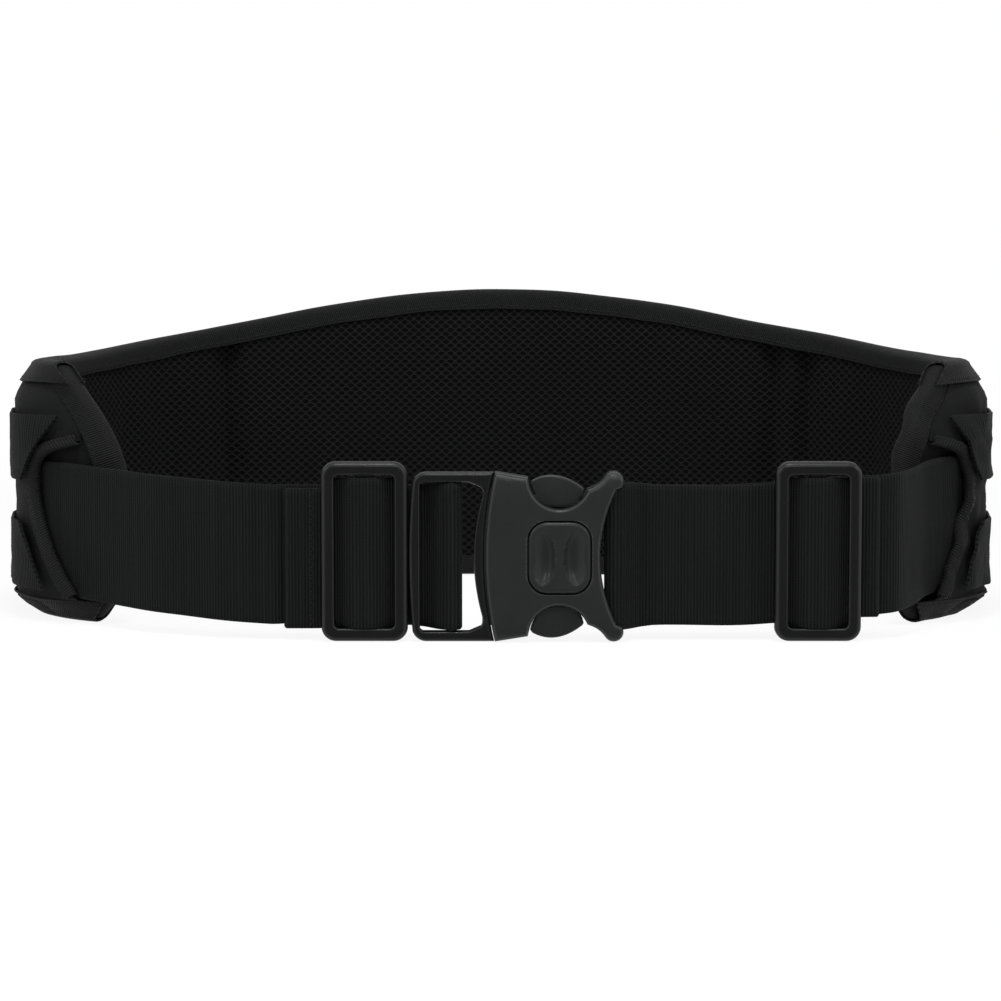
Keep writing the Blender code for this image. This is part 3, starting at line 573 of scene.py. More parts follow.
def swell(piece, held):
    """Blows the piece up as cloth, with some points held, and keeps every move under the cap."""
    before = [v.co.copy() for v in piece.data.vertices]
    piece.vertex_groups.new(name="held").add(held, 1.0, "REPLACE")
    cloth = piece.modifiers.new("swelling", "CLOTH")
    settings = {
        "quality": 4, "mass": 0.25, "tension_stiffness": 12.0, "compression_stiffness": 6.0, "bending_stiffness": 0.6,
        "vertex_group_mass": "held", "use_pressure": True, "uniform_pressure_force": PRESSURE,
    }
    for name, value in settings.items():
        setattr(cloth.settings, name, value)
    cloth.settings.effector_weights.gravity = 0.0
    cloth.collision_settings.use_collision = False
    cloth.point_cache.frame_start, cloth.point_cache.frame_end = 1, FRAMES
    for number in range(1, FRAMES + 1):
        scene.frame_set(number)
    seen = piece.evaluated_get(bpy.context.evaluated_depsgraph_get())
    after = [v.co.copy() for v in seen.to_mesh().vertices]
    seen.to_mesh_clear()
    piece.modifiers.remove(cloth)
    piece.vertex_groups.clear()
    scene.frame_set(1)
    moves = [new - old for old, new in zip(before, after)]
    for vertex, old, move in zip(piece.data.vertices, before, moves):
        vertex.co = old + (move * (SWELLS_AT_MOST / move.length) if move.length > SWELLS_AT_MOST else move)
    print("lining swelled by up to %.1f mm" % (1000 * max(move.length for move in moves)))


swell(lining, lining_hold())


# %% The finished lining
def apply_modifiers(piece):
    graph = bpy.context.evaluated_depsgraph_get()
    mesh = bpy.data.meshes.new_from_object(piece.evaluated_get(graph))
    piece.modifiers.clear()
    old = piece.data
    piece.data = mesh
    bpy.data.meshes.remove(old)
    mesh.name = piece.name


finer = lining.modifiers.new("finer", "SUBSURF")
finer.levels = finer.render_levels = 1
apply_modifiers(lining)
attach(lining, "belt")
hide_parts("mesh_lining", "back_cushion", "left_cushion", "right_cushion")
report(lining)

# %% [markdown]
# The backing and the sleeve's cover
#
# Behind the foam lies a backing of pack cloth, and over it the sleeve's cover, sewn down along the hems and open
# at both ends, where the strap comes out. Both are single sheets. The cover stands away from the backing to
# let the strap through, and it puckers a little between the rows of load webbing and near its mouths.

# %% Where the two sheets lie
MEAN_HEIGHT, CLOTH_HEIGHT = 0.107, 0.1205
PUCKER, CURL_PUCKER, CRUMPLE = 0.00035, 0.0006, 0.0024


def backing_face(s, w):
    return LINING + foam_at(s, w) + 2 * GAP


def cover_face(s, w):
    """The cover's inner face: over the strap it stands off the pad, and round it it is sewn down."""
    sewn = clamp(min(w / 0.05, (1 - w) / 0.14))
    curl = smooth((abs(s) - 0.19) / 0.06)
    pucker = PUCKER * unevenness(s, w * 0.1, 0.017, seed=3.0)
    pucker += CURL_PUCKER * curl * abs(unevenness(s, w * 0.1, 0.012, seed=8.0))
    crumple = CRUMPLE * smooth((s - 0.235) / 0.03) * abs(unevenness(s, w * 0.12, 0.010, seed=14.0))
    free = EDGE_COVER_V + (COVER_V - EDGE_COVER_V) * sewn + (pucker + crumple) * sewn
    round_bay = smooth((w - 0.62) / 0.09) + smooth((0.095 - w) / 0.035)
    near_end = 1 - smooth((nose(w) - abs(s) - 0.008) / 0.022)
    held = LINING + foam_at(s, w) + 4 * GAP + BACKING
    return free + (max(held, EDGE_COVER_V * (w < 0.05)) - free) * clamp(round_bay) * near_end


def flat_area(end):
    """Area of a sheet of the band before it is bent."""
    shares = steps(0.0, 1.0, 1 / 40)
    return sum(2 * end(w) for w in shares) / len(shares) * MEAN_HEIGHT


# %% The two sheets of cloth
SHEETS = {
    "pad_backing_cloth": ("pad_backing", nose, backing_face, BACKING, 20, 0.006, "padded_lining"),
    "sleeve_cover_cloth": ("sleeve_cover", mouth, cover_face, COVER, 34, 0.003, "pad_backing_cloth"),
}
for name, (replaced, end, face, thickness, count, size, under) in SHEETS.items():
    columns, rows = steps(-PAD_END, PAD_END, size), steps(0.0, 1.0, 1 / count)
    cloth = band_sheet(name, columns, rows, end, lambda s, w: (face(s, w), face(s, w) + thickness), PACK_CLOTH)
    soft(cloth, replaced, (2 * PAD_END, CLOTH_HEIGHT), "stretched", under, area=flat_area(end))


# %% [markdown]
# Folded tapes
#
# Every raw edge is closed by a tape that is folded over it and sewn through both of its legs. A tape is drawn
# by its centre line in cross-section, down one leg, round the fold and up the other, and that line is carried
# along the edge. The tape's thickness is laid off to both sides of the line.


# %% Lines of points
def running(line):
    """Each point's distance along the line."""
    run = [0.0]
    for before, after in zip(line, line[1:]):
        run.append(run[-1] + math.dist(before, after))
    return run


def heading(line, i, near=1):
    """The direction of the line at its point i, in its first two coordinates."""
    before, after = line[max(i - near, 0)], line[min(i + near, len(line) - 1)]
    return Vector((after[0] - before[0], after[1] - before[1])).normalized()


# %% Carrying a folded line along an edge
TAPES = {}
TAPE_KINDS = {
    "edge_tape": (BINDING, "padded_lining", "sleeve_cover_cloth"),
    "end_tape": (BINDING, "padded_lining", "pad_backing_cloth"),
    "mouth_tape": (CORDED, "sleeve_cover_cloth"),
}
BOW_DEPTH = 0.0022
LOOSE, OVERHANG = 0.0008, 0.0012


def folded_line(inner_v, outer_v, depth, slope=0.0):
    """Points (v, depth) from the inner leg's edge round the fold to the outer leg's edge."""
    half, middle = (outer_v - inner_v) / 2, (outer_v + inner_v) / 2
    bow = min(half, BOW_DEPTH)
    legs = [depth * (1 - k / 3) + bow * (k / 3) for k in range(4)]
    angles = [math.pi * i / 7 for i in range(1, 7)]
    line = [(inner_v, d) for d in legs]
    line += [(middle - half * math.cos(angle), bow - bow * math.sin(angle)) for angle in angles]
    return line + [(outer_v + slope * (d - bow), d) for d in reversed(legs)]


def tape_piece(name, replaced, flat, runs, lines, place):
    """A tape whose folded line at each run value is placed by place(i, v, depth)."""
    kind = name[name.index("_") + 1 :]
    finish, *rests_on = TAPE_KINDS[kind]
    TAPES[name] = (lines, place)
    columns = []
    for i, (run, line) in enumerate(zip(runs, lines)):
        column = []
        for k, ((v, d), across) in enumerate(zip(line, running(line))):
            along = heading(line, k)
            off_v, off_d = along.y * TAPE / 2, along.x * TAPE / 2
            column.append((place(i, v - off_v, d + off_d), place(i, v + off_v, d - off_d), (run, across)))
        columns.append(column)
    soft(shell(name, columns, finish), replaced, flat, "folded", *rests_on)


# %% The tapes on the upper and lower edges
TAPE_WIDTH = 0.024


def edge_tape(edge, top, slant):
    """slant says how far the tape's ends are drawn round the corner for each metre of its depth."""
    limit = nose(1.0 if top else 0.0) + 0.0010
    runs = steps(-limit, limit, 0.003)

    def slid(s, d):
        return s + math.copysign(slant * d * smooth((abs(s) - limit + 0.03) / 0.03), s)

    def place(i, v, d):
        s = runs[i]
        wave = 0.0004 * unevenness(s, 0.0, 0.03, seed=6.0)
        return on_band(slid(s, max(d, 0.0)), v, band_height(s) - d + wave if top else d + TAPE / 2)

    lines = []
    for s in runs:
        share = share_at(s, TAPE_DEPTH)
        reached = cover_face(slid(s, TAPE_DEPTH), 1 - share if top else share)
        slope = (reached - EDGE_COVER_V + 0.0005) / (TAPE_DEPTH - 0.002)
        depth = TAPE_DEPTH + 0.0005 * unevenness(s, 0.0, 0.02, seed=5.0)
        lines.append(folded_line(-GAP - TAPE / 2, EDGE_COVER_V + COVER + GAP + TAPE / 2, depth, slope))
    tape_piece(edge + "_edge_tape", edge + "_binding", (TAPE_WIDTH, 2 * limit + 0.012), runs, lines, place)


edge_tape("top", True, 1.15)
edge_tape("bottom", False, 0.80)


# %% The tapes round the ends
def end_tape(end, side):
    """The tape from the band's lower corner over its nose to the upper corner."""
    shares = steps(0.0, 1.0, 1 / 60)
    runs = running([(nose(w), level(PAD_END, w)) for w in shares])
    inner, outer = -LOOSE - TAPE / 2, LINING + FOAM_EDGE + BACKING + 2 * GAP + LOOSE + TAPE / 2
    slopes = [(FOAM - FOAM_EDGE) / FOAM_SLOPE * clamp(min(w, 1 - w) / BEVEL) for w in shares]
    lines = [folded_line(inner, outer, TAPE_DEPTH + OVERHANG, slope) for slope in slopes]

    def place(i, v, d):
        w = shares[i]
        ripple = 0.0005 * unevenness(w * 0.1, side * 0.3, 0.011, seed=2.0)
        return on_band(side * (nose(w) + OVERHANG - d), v + ripple, level(PAD_END, w) + 0.0004 * (1 - 2 * w))

    tape_piece(end + "_end_tape", end + "_end_binding", (TAPE_WIDTH, runs[-1]), runs, lines, place)


for end, side in SIDES.items():
    end_tape(end, side)


# %% The tapes round the sleeve's mouths
MOUTH_WIDTH, MOUTH_DEPTH, MOUTH_LOWEST = 0.0128, 0.0038, 0.0016
BAY_SPACING = 0.0010


def bay_line():
    """The bay's edge in (s, height), from its lower end round to its upper end, and the way into the cloth."""
    fine = [(mouth(w), level(mouth(w), w)) for w in steps(0.100, 0.706, 0.001)]
    edge, run = [fine[0]], 0.0
    for before, after in zip(fine, fine[1:]):
        run += math.dist(before, after)
        if run >= BAY_SPACING:
            edge.append(after)
            run = 0.0
    ways = [heading(edge, i, 2) for i in range(len(edge))]
    return edge, [Vector((-along.y, along.x)) for along in ways]


BAY_EDGE, BAY_INWARD = bay_line()


def mouth_tape(end, side):
    runs = running(BAY_EDGE)
    lines = [folded_line(-0.0009 - TAPE / 2, COVER + 0.0010 + TAPE / 2, MOUTH_DEPTH)] * len(runs)

    def place(i, v, d):
        """A point at a depth into the cloth from the bay's edge, at v above the cover's inner face."""
        (s, z), inward = BAY_EDGE[i], BAY_INWARD[i]
        s, z = s + inward.x * (d - OVERHANG), max(z + inward.y * (d - OVERHANG), MOUTH_LOWEST)
        share = clamp(share_at(s, z))
        return on_band(side * s, cover_face(side * min(s, nose(share) - 0.004), share) + v, z)

    tape_piece(end + "_mouth_tape", end + "_mouth_binding", (MOUTH_WIDTH, runs[-1]), runs, lines, place)


for end, side in SIDES.items():
    mouth_tape(end, side)


# %% [markdown]
# The load webbing
#
# Two rows of narrow webbing run round the back for pouches to hang on. Each row is tacked down at an even
# pitch and stands a little off the cover between the tacks. The loops open up where the band curls in at its
# ends, because the outside of a bend has further to go. The rows end on a slant, beside the sleeve's mouths.

# %% Two rows of loops
LOAD_WIDTH, LOAD_THICK = 0.025, 0.0013
LOOP_PITCH, LOOP_COUNT = 0.038, 13
TACKS_A_SIDE = (LOOP_COUNT + 1) // 2
LOOPS_END, LIFT_HELD = LOOP_COUNT * LOOP_PITCH / 2, TACKS_A_SIDE * LOOP_PITCH
LOOP_OPEN, CURL_OPEN = 0.0012, 0.0010
ROW_TAIL = 0.025
LOAD_ROWS = {"upper": (0.0650, 0.2680, 0.2825), "lower": (0.0245, 0.2795, 0.2665)}
ACROSS = (-1.0, -0.94, -0.6, -0.2, 0.2, 0.6, 0.94, 1.0)


def loop_lift(s):
    """How far the row stands off the cover: most between two tacks, and more where the band curls in."""
    between = math.cos(math.pi * clamp(s, -LIFT_HELD, LIFT_HELD) / LOOP_PITCH) ** 2
    return (LOOP_OPEN + CURL_OPEN * smooth((abs(s) - 0.20) / 0.04)) * between


def load_row(row, centre, low, high):
    """low and high say how far round the waist the row's lower and upper edges reach."""

    def triple(t, across):
        z = centre + across * LOAD_WIDTH / 2
        limit = nose(share_at(PAD_END, z)) - TAPE_DEPTH - 0.0025
        end = min(low + (high - low) * (across + 1) / 2, limit)
        tail = LOOPS_END + (abs(t) - LOOPS_END) * (end - LOOPS_END) / ROW_TAIL
        s = t if abs(t) < LOOPS_END else math.copysign(tail, t)
        thin = 0.0003 * (abs(across) == 1.0)
        v = cover_face(s, share_at(s, z)) + COVER + GAP + 0.0002 + loop_lift(s)
        v += 0.0002 * unevenness(s, z, 0.02, seed=9.0)
        return on_band(s, v + thin, z), on_band(s, v + LOAD_THICK - thin, z), (s, z)

    places = steps(-LOOPS_END - ROW_TAIL, LOOPS_END + ROW_TAIL, 0.0019)
    columns = [[triple(t, across) for across in ACROSS] for t in places]
    course = running([column[4][0] for column in columns])[-1]
    piece = shell(row + "_loop_row", columns, LOAD)
    soft(piece, row + "_load_webbing", (LOAD_WIDTH, course), "stretched", "sleeve_cover_cloth")


for row, (centre, low, high) in LOAD_ROWS.items():
    load_row(row, centre, low, high)


# %% [markdown]
# The strap
#
# The strap lies in the sleeve, comes out of its mouths, bends round to the front, passes through a slider, wraps
# the buckle's bar and goes back through the slider to its end. A slider can travel, so the two layers of strap
# run on flat behind it, and a short arch that rides with the slider carries the webbing over its middle bar.

# %% Sizes of the strap and of what it goes through
WIDTH = 0.050
FRAME_FRONT_V, FRAME_BACK_V = 0.0079, 0.0022
FRONT_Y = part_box("left_slider")[0].y + FRAME_FRONT_V
MIDDLE_PAD, MIDDLE_FRONT = 0.0325, 0.0303
LAYER = (WEBBING + GAP) / 2
FLAT_V, BAR_V, BAR_RADIUS = 0.0002, 0.0045, 0.0018
BAR_WRAP = BAR_RADIUS + GAP + WEBBING / 2
PLUG_BAR_X, SOCKET_BAR_X = -0.0175, 0.0407
SLEEVED_END, LEAVES_SLEEVE = 0.230, PAD_END - 0.019
PULL, SWAY = 0.9, 0.0007
SPREAD, BULGE, HEM = 0.0095, 0.0022, 0.0105
HEM_TURN = (WEBBING + 0.0001) / 2
STRAPS = {
    "left": {"side": -1, "bend": -0.082, "bar": PLUG_BAR_X, "tail": -0.0755, "drop": 0.0013, "rise": 0, "top": 0.0348},
    "right": {
        "side": 1, "bend": 0.134, "bar": SOCKET_BAR_X, "tail": 0.1335, "drop": 0.0004, "rise": 0.0032, "top": 0.0368,
    },
}
print("front webbing lies at y = %.1f mm" % (1000 * FRONT_Y))


# %% A strap on edge along a path
def strap_piece(name, path):
    """path holds (x, y, middle height, width) points; the strap stands on edge along it."""
    columns = []
    runs = running([point[:2] for point in path])
    for i, (x, y, middle, width) in enumerate(path):
        along = heading(path, i)
        column = []
        for across in (-1.0, -0.97, -0.9, -0.5, 0.0, 0.5, 0.9, 0.97, 1.0):
            z = middle + across * width / 2
            half = WEBBING / 2 * (0.45 if abs(across) == 1.0 else 1.0)
            inside = (x - along.y * half, y + along.x * half, z)
            outside = (x + along.y * half, y - along.x * half, z)
            column.append((inside, outside, (runs[i], z)))
        columns.append(column)
    return shell(name, columns, STRAP), runs[-1]


# %% From the sleeve to the front
def out_of_the_sleeve(side, end, top, middle_at_end):
    """The strap's path from inside the sleeve, in one smooth bend, to the point where it lies flat."""

    def in_sleeve(s):
        return on_band(side * s, STRAP_V + WEBBING / 2, 0).to_2d()

    path = []
    for s in steps(SLEEVED_END + GAP, LEAVES_SLEEVE, 0.003)[:-1]:
        middle = MIDDLE_PAD + (top - MIDDLE_PAD) * smooth((s - 0.232) / 0.03)
        path.append((*in_sleeve(s), middle, WIDTH))
    start, before = in_sleeve(LEAVES_SLEEVE), in_sleeve(LEAVES_SLEEVE - 0.001)
    pull = PULL * (end - start).length
    leaving, arriving = (start - before).normalized() * pull, Vector((-side, 0)) * pull
    for t in [i / 30 for i in range(31)]:
        at = start * (2 * t**3 - 3 * t**2 + 1) + leaving * (t**3 - 2 * t**2 + t)
        at += end * (3 * t**2 - 2 * t**3) + arriving * (t**3 - t**2)
        sway = SWAY * math.sin(17 * t) * math.sin(math.pi * t)
        path.append((at.x, at.y - sway, top + (middle_at_end - top) * t, WIDTH))
    return path


# %% Round the buckle's bar and back to the hem
def strap_path(side, bend, bar, tail, drop, rise, top):
    """The whole path. u is the distance from the bar toward the sleeve, and v rises toward the viewer."""
    length, hem_end = abs(bend - bar), abs(tail - bar)

    def pushed(u):
        """How far the rear layer is pushed back to make room for the tail's hem."""
        begins, ends = smooth((u - hem_end + HEM + 0.006) / 0.005), smooth((u - hem_end - 0.001) / 0.004)
        return 2 * HEM_TURN * begins * (1 - ends)

    def layer(u, sign):
        spread = smooth(u / SPREAD)
        round_bar = BAR_V + sign * BAR_WRAP
        return round_bar + (FLAT_V + sign * LAYER - round_bar) * spread

    def front(u, v, drop=0.0):
        width = WIDTH + BULGE * (1 - smooth((u - 0.004) / 0.012))
        lift = rise * smooth((u - 0.035) / (length - 0.035))
        return (bar + side * u, FRONT_Y - v, MIDDLE_FRONT + lift - drop, width)

    end = Vector((bend, FRONT_Y - FLAT_V + LAYER + pushed(length)))
    path = out_of_the_sleeve(side, end, top, MIDDLE_FRONT + rise)
    near_bar = steps(0.0, SPREAD, 0.0012)
    for u in reversed(near_bar + steps(SPREAD, length, 0.0025)[1:-1]):
        path.append(front(u, layer(u, -1) - pushed(u)))
    for angle in [math.pi * i / 12 for i in range(1, 12)]:
        path.append(front(-BAR_WRAP * math.sin(angle), BAR_V - BAR_WRAP * math.cos(angle)))
    outer = near_bar + steps(SPREAD, hem_end, 0.004)[1:]
    for u in outer:
        path.append(front(u, layer(u, 1), drop * smooth((u - 0.02) / 0.03)))
    for angle in [math.pi * i / 8 for i in range(1, 8)]:
        u, v = outer[-1] + HEM_TURN * math.sin(angle), FLAT_V + LAYER - HEM_TURN * (1 - math.cos(angle))
        path.append(front(u, v, drop))
    for u in steps(0.0, HEM, 0.0015):
        path.append(front(outer[-1] - u, FLAT_V + LAYER - 2 * HEM_TURN, drop))
    return path


# %% The sleeved strap and its two ends
sleeved = [on_band(s, STRAP_V + WEBBING / 2, 0) for s in steps(-SLEEVED_END, SLEEVED_END, 0.006)]
piece, run = strap_piece("sleeved_strap", [(p.x, p.y, MIDDLE_PAD, WIDTH) for p in sleeved])
soft(piece, "belt_webbing", (WIDTH, run), "stretched", "pad_backing_cloth")

left_strap, run = strap_piece("left_front_strap", strap_path(**STRAPS["left"]))
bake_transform(left_strap)
soft(left_strap, "left_strap", (WIDTH, run), "stretched", "buckle_plug", body=None)

right_strap, run = strap_piece("right_front_strap", strap_path(**STRAPS["right"]))
soft(right_strap, "right_strap", (WIDTH, run), "stretched", "buckle_socket")

# %% The arches over the sliders' middle bars
ARCH_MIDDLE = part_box("left_slider")[1].z / 2 - 0.0005
ARCH_WIDTH, ARCH_TOP_V, ARCH_LOW_V = 0.0536, 0.0077, 0.0032
ARCHES = {"outer": (0.0, 0.0110), "inner": (0.0021, 0.0064)}


def arch(slider, part, sink, half):
    """A short layer of strap over a slider's middle bar, which rides with the slider."""
    low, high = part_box(slider)
    path = []
    for u in steps(-half, half, 0.0011):
        rise = 0.5 + 0.5 * math.cos(math.pi * clamp((abs(u) - 0.002) / 0.009))
        v = ARCH_LOW_V + (ARCH_TOP_V - ARCH_LOW_V) * rise - sink
        path.append(((low.x + high.x) / 2 + u, FRONT_Y - v, ARCH_MIDDLE, ARCH_WIDTH - sink))
    piece, run = strap_piece(slider.replace("slider", part + "_arch"), path)
    soft(piece, None, (ARCH_WIDTH - sink, run), "stretched", slider, body=slider)


for end in STRAPS:
    for part, (sink, half) in ARCHES.items():
        arch(end + "_slider", part, sink, half)


# %% [markdown]
# Stitches
#
# Every seam is a row of stitches. A row is a line of points on the cloth, each with the direction that faces
# away from it. A node tree walks along the line at the seam's pitch and lays one stitch at every step: a small
# ellipsoid that sinks into the cloth at both ends. Every second stitch may lean the other way, which makes the
# zigzag of a bar tack.

# %% The node tree
STITCH = {"Pitch": 0.0033, "Length": 0.0026, "Thickness": 0.00055, "Lean": 0.0}


def stitch_tree():
    tree = bpy.data.node_groups.new("stitch_row", "GeometryNodeTree")
    for direction in ("INPUT", "OUTPUT"):
        tree.interface.new_socket("Geometry", in_out=direction, socket_type="NodeSocketGeometry")
    for name in STITCH:
        tree.interface.new_socket(name, in_out="INPUT", socket_type="NodeSocketFloat")
    nodes = Nodes(tree)

    def given(name):
        return nodes.node("NodeGroupInput", output=name)

    curve = nodes.node("GeometryNodeMeshToCurve", {"Mesh": given("Geometry")})
    evenly = {"Curve": curve, "Length": given("Pitch")}
    points = nodes.node("GeometryNodeResampleCurve", evenly, mode="LENGTH")
    outward = nodes.node("GeometryNodeInputNamedAttribute", {"Name": "outward"}, data_type="FLOAT_VECTOR")
    tangent = nodes.node("GeometryNodeInputTangent")
    along = nodes.node("FunctionNodeAlignRotationToVector", {"Vector": tangent}, axis="Z")
    turned = {"Rotation": along, "Vector": outward}
    facing = nodes.node("FunctionNodeAlignRotationToVector", turned, axis="X", pivot_axis="Z")
    other = nodes.maths("PINGPONG", nodes.node("GeometryNodeInputIndex"), 1.0)
    angles = nodes.node("ShaderNodeCombineXYZ", {"X": (other * 2.0 - 1.0) * given("Lean")})
    turn = nodes.node("FunctionNodeEulerToRotation", {0: angles})
    leaning = {"Rotation": facing, "Rotate By": turn}
    rotation = nodes.node("FunctionNodeRotateRotation", leaning, rotation_space="LOCAL")
    stitch = nodes.node("GeometryNodeMeshUVSphere", {"Segments": 6, "Rings": 4, "Radius": 0.5})
    sizes = {"X": given("Thickness"), "Y": given("Thickness"), "Z": given("Length")}
    size = nodes.node("ShaderNodeCombineXYZ", sizes)
    each = {"Points": points, "Instance": stitch, "Rotation": rotation, "Scale": size}
    row = nodes.node("GeometryNodeInstanceOnPoints", each)
    solid = nodes.node("GeometryNodeRealizeInstances", {"Geometry": row})
    done = nodes.node("GeometryNodeSetMaterial", {"Geometry": solid, "Material": thread.material})
    nodes.node("NodeGroupOutput", {"Geometry": done})
    return tree


STITCHES = stitch_tree()
print("stitch tree with %d nodes" % len(STITCHES.nodes))


# %% Rows of stitches
def stitch_rows(name, rows, body="belt", **sizes):
    """rows holds lines of (point, outward) pairs; each becomes one row of stitches."""
    points, edges, outward = [], [], []
    for row in rows:
        edges += [(i, i + 1) for i in range(len(points), len(points) + len(row) - 1)]
        for at, away in row:
            points.append(tuple(at))
            outward += list(away)
    mesh = bpy.data.meshes.new(name + "_line")
    mesh.from_pydata(points, edges, [])
    mesh.attributes.new("outward", "FLOAT_VECTOR", "POINT").data.foreach_set("vector", outward)
    line = shown(name + "_line", mesh)
    modifier = line.modifiers.new("stitches", "NODES")
    modifier.node_group = STITCHES
    sizes = {**STITCH, **sizes}
    for item in STITCHES.interface.items_tree:
        if item.in_out == "INPUT" and item.name in sizes:
            modifier[item.identifier] = sizes[item.name]
    made = bpy.data.meshes.new_from_object(line.evaluated_get(bpy.context.evaluated_depsgraph_get()))
    made.name = name
    bpy.data.objects.remove(line)
    piece = shown(name, made)
    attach(piece, body)
    report(piece)


# %% The seams of the tapes
def leg_row(tape, leg, back, first=0, last=None):
    """The line along one leg of a tape, 1 for the outer and -1 for the inner, a little back from the leg's edge."""
    lines, place = TAPES[tape]
    row = []
    for i in range(len(lines))[first:last]:
        (v1, d1), (v2, d2) = lines[i][-2:] if leg > 0 else lines[i][1::-1]
        share = 1 - back / max(abs(d2 - d1), 1e-6)
        v, d = v1 + (v2 - v1) * share, d1 + (d2 - d1) * share
        at, above = place(i, v + leg * TAPE / 2, d), place(i, v + leg * (TAPE / 2 + 0.001), d)
        row.append((at, (above - at).normalized()))
    return row


edge_rows = [leg_row(edge + "_edge_tape", leg, 0.0015) for edge in ("top", "bottom") for leg in (1, -1)]
end_rows = [leg_row(end + "_end_tape", leg, 0.0014, 5, -6) for end in SIDES for leg in (1, -1)]
mouth_rows = [leg_row(end + "_mouth_tape", 1, 0.0009, 1, -1) for end in SIDES]
stitch_rows("edge_stitches", edge_rows)
stitch_rows("end_stitches", end_rows, Pitch=0.0029, Length=0.0024)
stitch_rows("mouth_stitches", mouth_rows, Pitch=0.0026, Length=0.0020, Thickness=0.00045)


# %% The bar tacks of the load rows
def tack_row(s, centre, half=0.0112):
    row = []
    for z in steps(centre - half, centre + half, 0.004):
        v = cover_face(s, share_at(s, z)) + COVER + GAP + LOAD_THICK + 0.0002
        at = on_band(s, v, z)
        row.append((at, (on_band(s, v + 0.001, z) - at).normalized()))
    return row


tack_places = [side * (0.5 + k) * LOOP_PITCH for k in range(TACKS_A_SIDE) for side in (-1, 1)]
tack_rows = [tack_row(s, centre) for s in tack_places for centre, _, _ in LOAD_ROWS.values()]
stitch_rows("bar_tacks", tack_rows, Pitch=0.0010, Length=0.0030, Thickness=0.00060, Lean=1.1)


# %% The hem of each tail
def hem_row(side, bar, tail, drop, rise, **others):
    x = tail - side * (HEM - 0.0022)
    y = FRONT_Y - FLAT_V - LAYER - 0.5 * WEBBING + 0.0001
    middle = MIDDLE_FRONT - drop + rise * smooth((abs(x - bar) - 0.035) / 0.05)
    half = WIDTH / 2 - 0.002
    return [((x, y, z), (0.0, -1.0, 0.0)) for z in steps(middle - half, middle + half, 0.005)]


for end, body in (("left", "plug"), ("right", "belt")):
    stitch_rows(end + "_hem_stitches", [hem_row(**STRAPS[end])], body, Pitch=0.0014, Length=0.0030, Lean=0.9)

# %% [markdown]
# Moulded parts
#
# The sliders and the buckle are injection moulded in acetal. Such parts have no sharp edge: every rim is rounded
# over, the socket's face falls away toward its ends, and the button is dished for two fingers. The solid model
# gives their outlines. Here each one is drawn again as a plate with a fine skin: rings of points step round the
# rounded rims, a grid fills the face, and a formula lifts every point of the face to its height. Openings for
# the webbing and the hollow of the socket are cut afterwards with booleans, as a mould's cores do.

# %% Outlines
def arc(x, z, radius, start, end, count):
    """Points of an arc, with angles in degrees from +x toward +z."""
    angles = [math.radians(start + (end - start) * i / count) for i in range(count + 1)]
    return [(x + radius * math.cos(a), z + radius * math.sin(a)) for a in angles]


def rectangle(left, right, low, high):
    return [(right, low), (right, high), (left, high), (left, low)]


def rounded_outline(left, right, low, high, radius, count=9):
    last, *corners = rectangle(left + radius, right - radius, low + radius, high - radius)
    corners.append(last)
    return [p for k, (x, z) in enumerate(corners) for p in arc(x, z, radius, 90 * k, 90 * k + 90, count)]


def bowed_edge(x_end, bow, low, high, count=24):
    """An edge from low to high that bows toward -x in its middle."""
    shares = [i / count for i in range(count + 1)]
    return [(x_end - bow * 4 * share * (1 - share), low + (high - low) * share) for share in shares]


def evened(outline, size=0.003):
    """The outline with long edges divided, so that its points are at most about size apart."""
    points = []
    for (x, z), (next_x, next_z) in zip(outline, outline[1:] + outline[:1]):
        count = max(1, round(math.dist((x, z), (next_x, next_z)) / size))
        points += [(x + (next_x - x) * i / count, z + (next_z - z) * i / count) for i in range(count)]
    return points


def inset(outline, amount):
    """The outline moved inward; its points run counterclockwise."""
    moved = []
    for i, here in enumerate(outline):
        before, after = Vector(outline[i - 1]), Vector(outline[(i + 1) % len(outline)])
        first, second = (Vector(here) - before).normalized(), (after - Vector(here)).normalized()
        inward = (Vector((-first.y, first.x)) + Vector((-second.y, second.x))).normalized()
        moved.append(tuple(Vector(here) + inward * (amount / max(inward.dot((-first.y, first.x)), 0.5))))
    return moved


# %% Inside or outside, and how far from the edge
def encloses(loop, points):
    """Which of the points lie inside the closed loop."""
    corners = np.array(loop)
    x1, z1 = corners[:, 0], corners[:, 1]
    x2, z2 = np.roll(x1, -1), np.roll(z1, -1)
    x, z = points[:, 0, None], points[:, 1, None]
    between = (z1 > z) != (z2 > z)
    rise = np.where(z2 == z1, 1e-12, z2 - z1)
    return (between & (x < (x2 - x1) * (z - z1) / rise + x1)).sum(axis=1) % 2 == 1


def between_loops(loops, points):
    """Which of the points lie inside the first loop and outside the others."""
    keep = encloses(loops[0], points)
    for loop in loops[1:]:
        keep &= ~encloses(loop, points)
    return keep


def distances(loops, points):
    """Distance from each point to the nearest edge of the loops."""
    nearest = np.full(len(points), np.inf)
    for loop in loops:
        start = np.array(loop)
        run = np.roll(start, -1, axis=0) - start
        away = points[:, None, :] - start[None, :, :]
        share = np.clip((away * run).sum(axis=2) / (run * run).sum(axis=1), 0, 1)
        nearest = np.minimum(nearest, np.linalg.norm(away - share[..., None] * run, axis=2).min(axis=1))
    return nearest


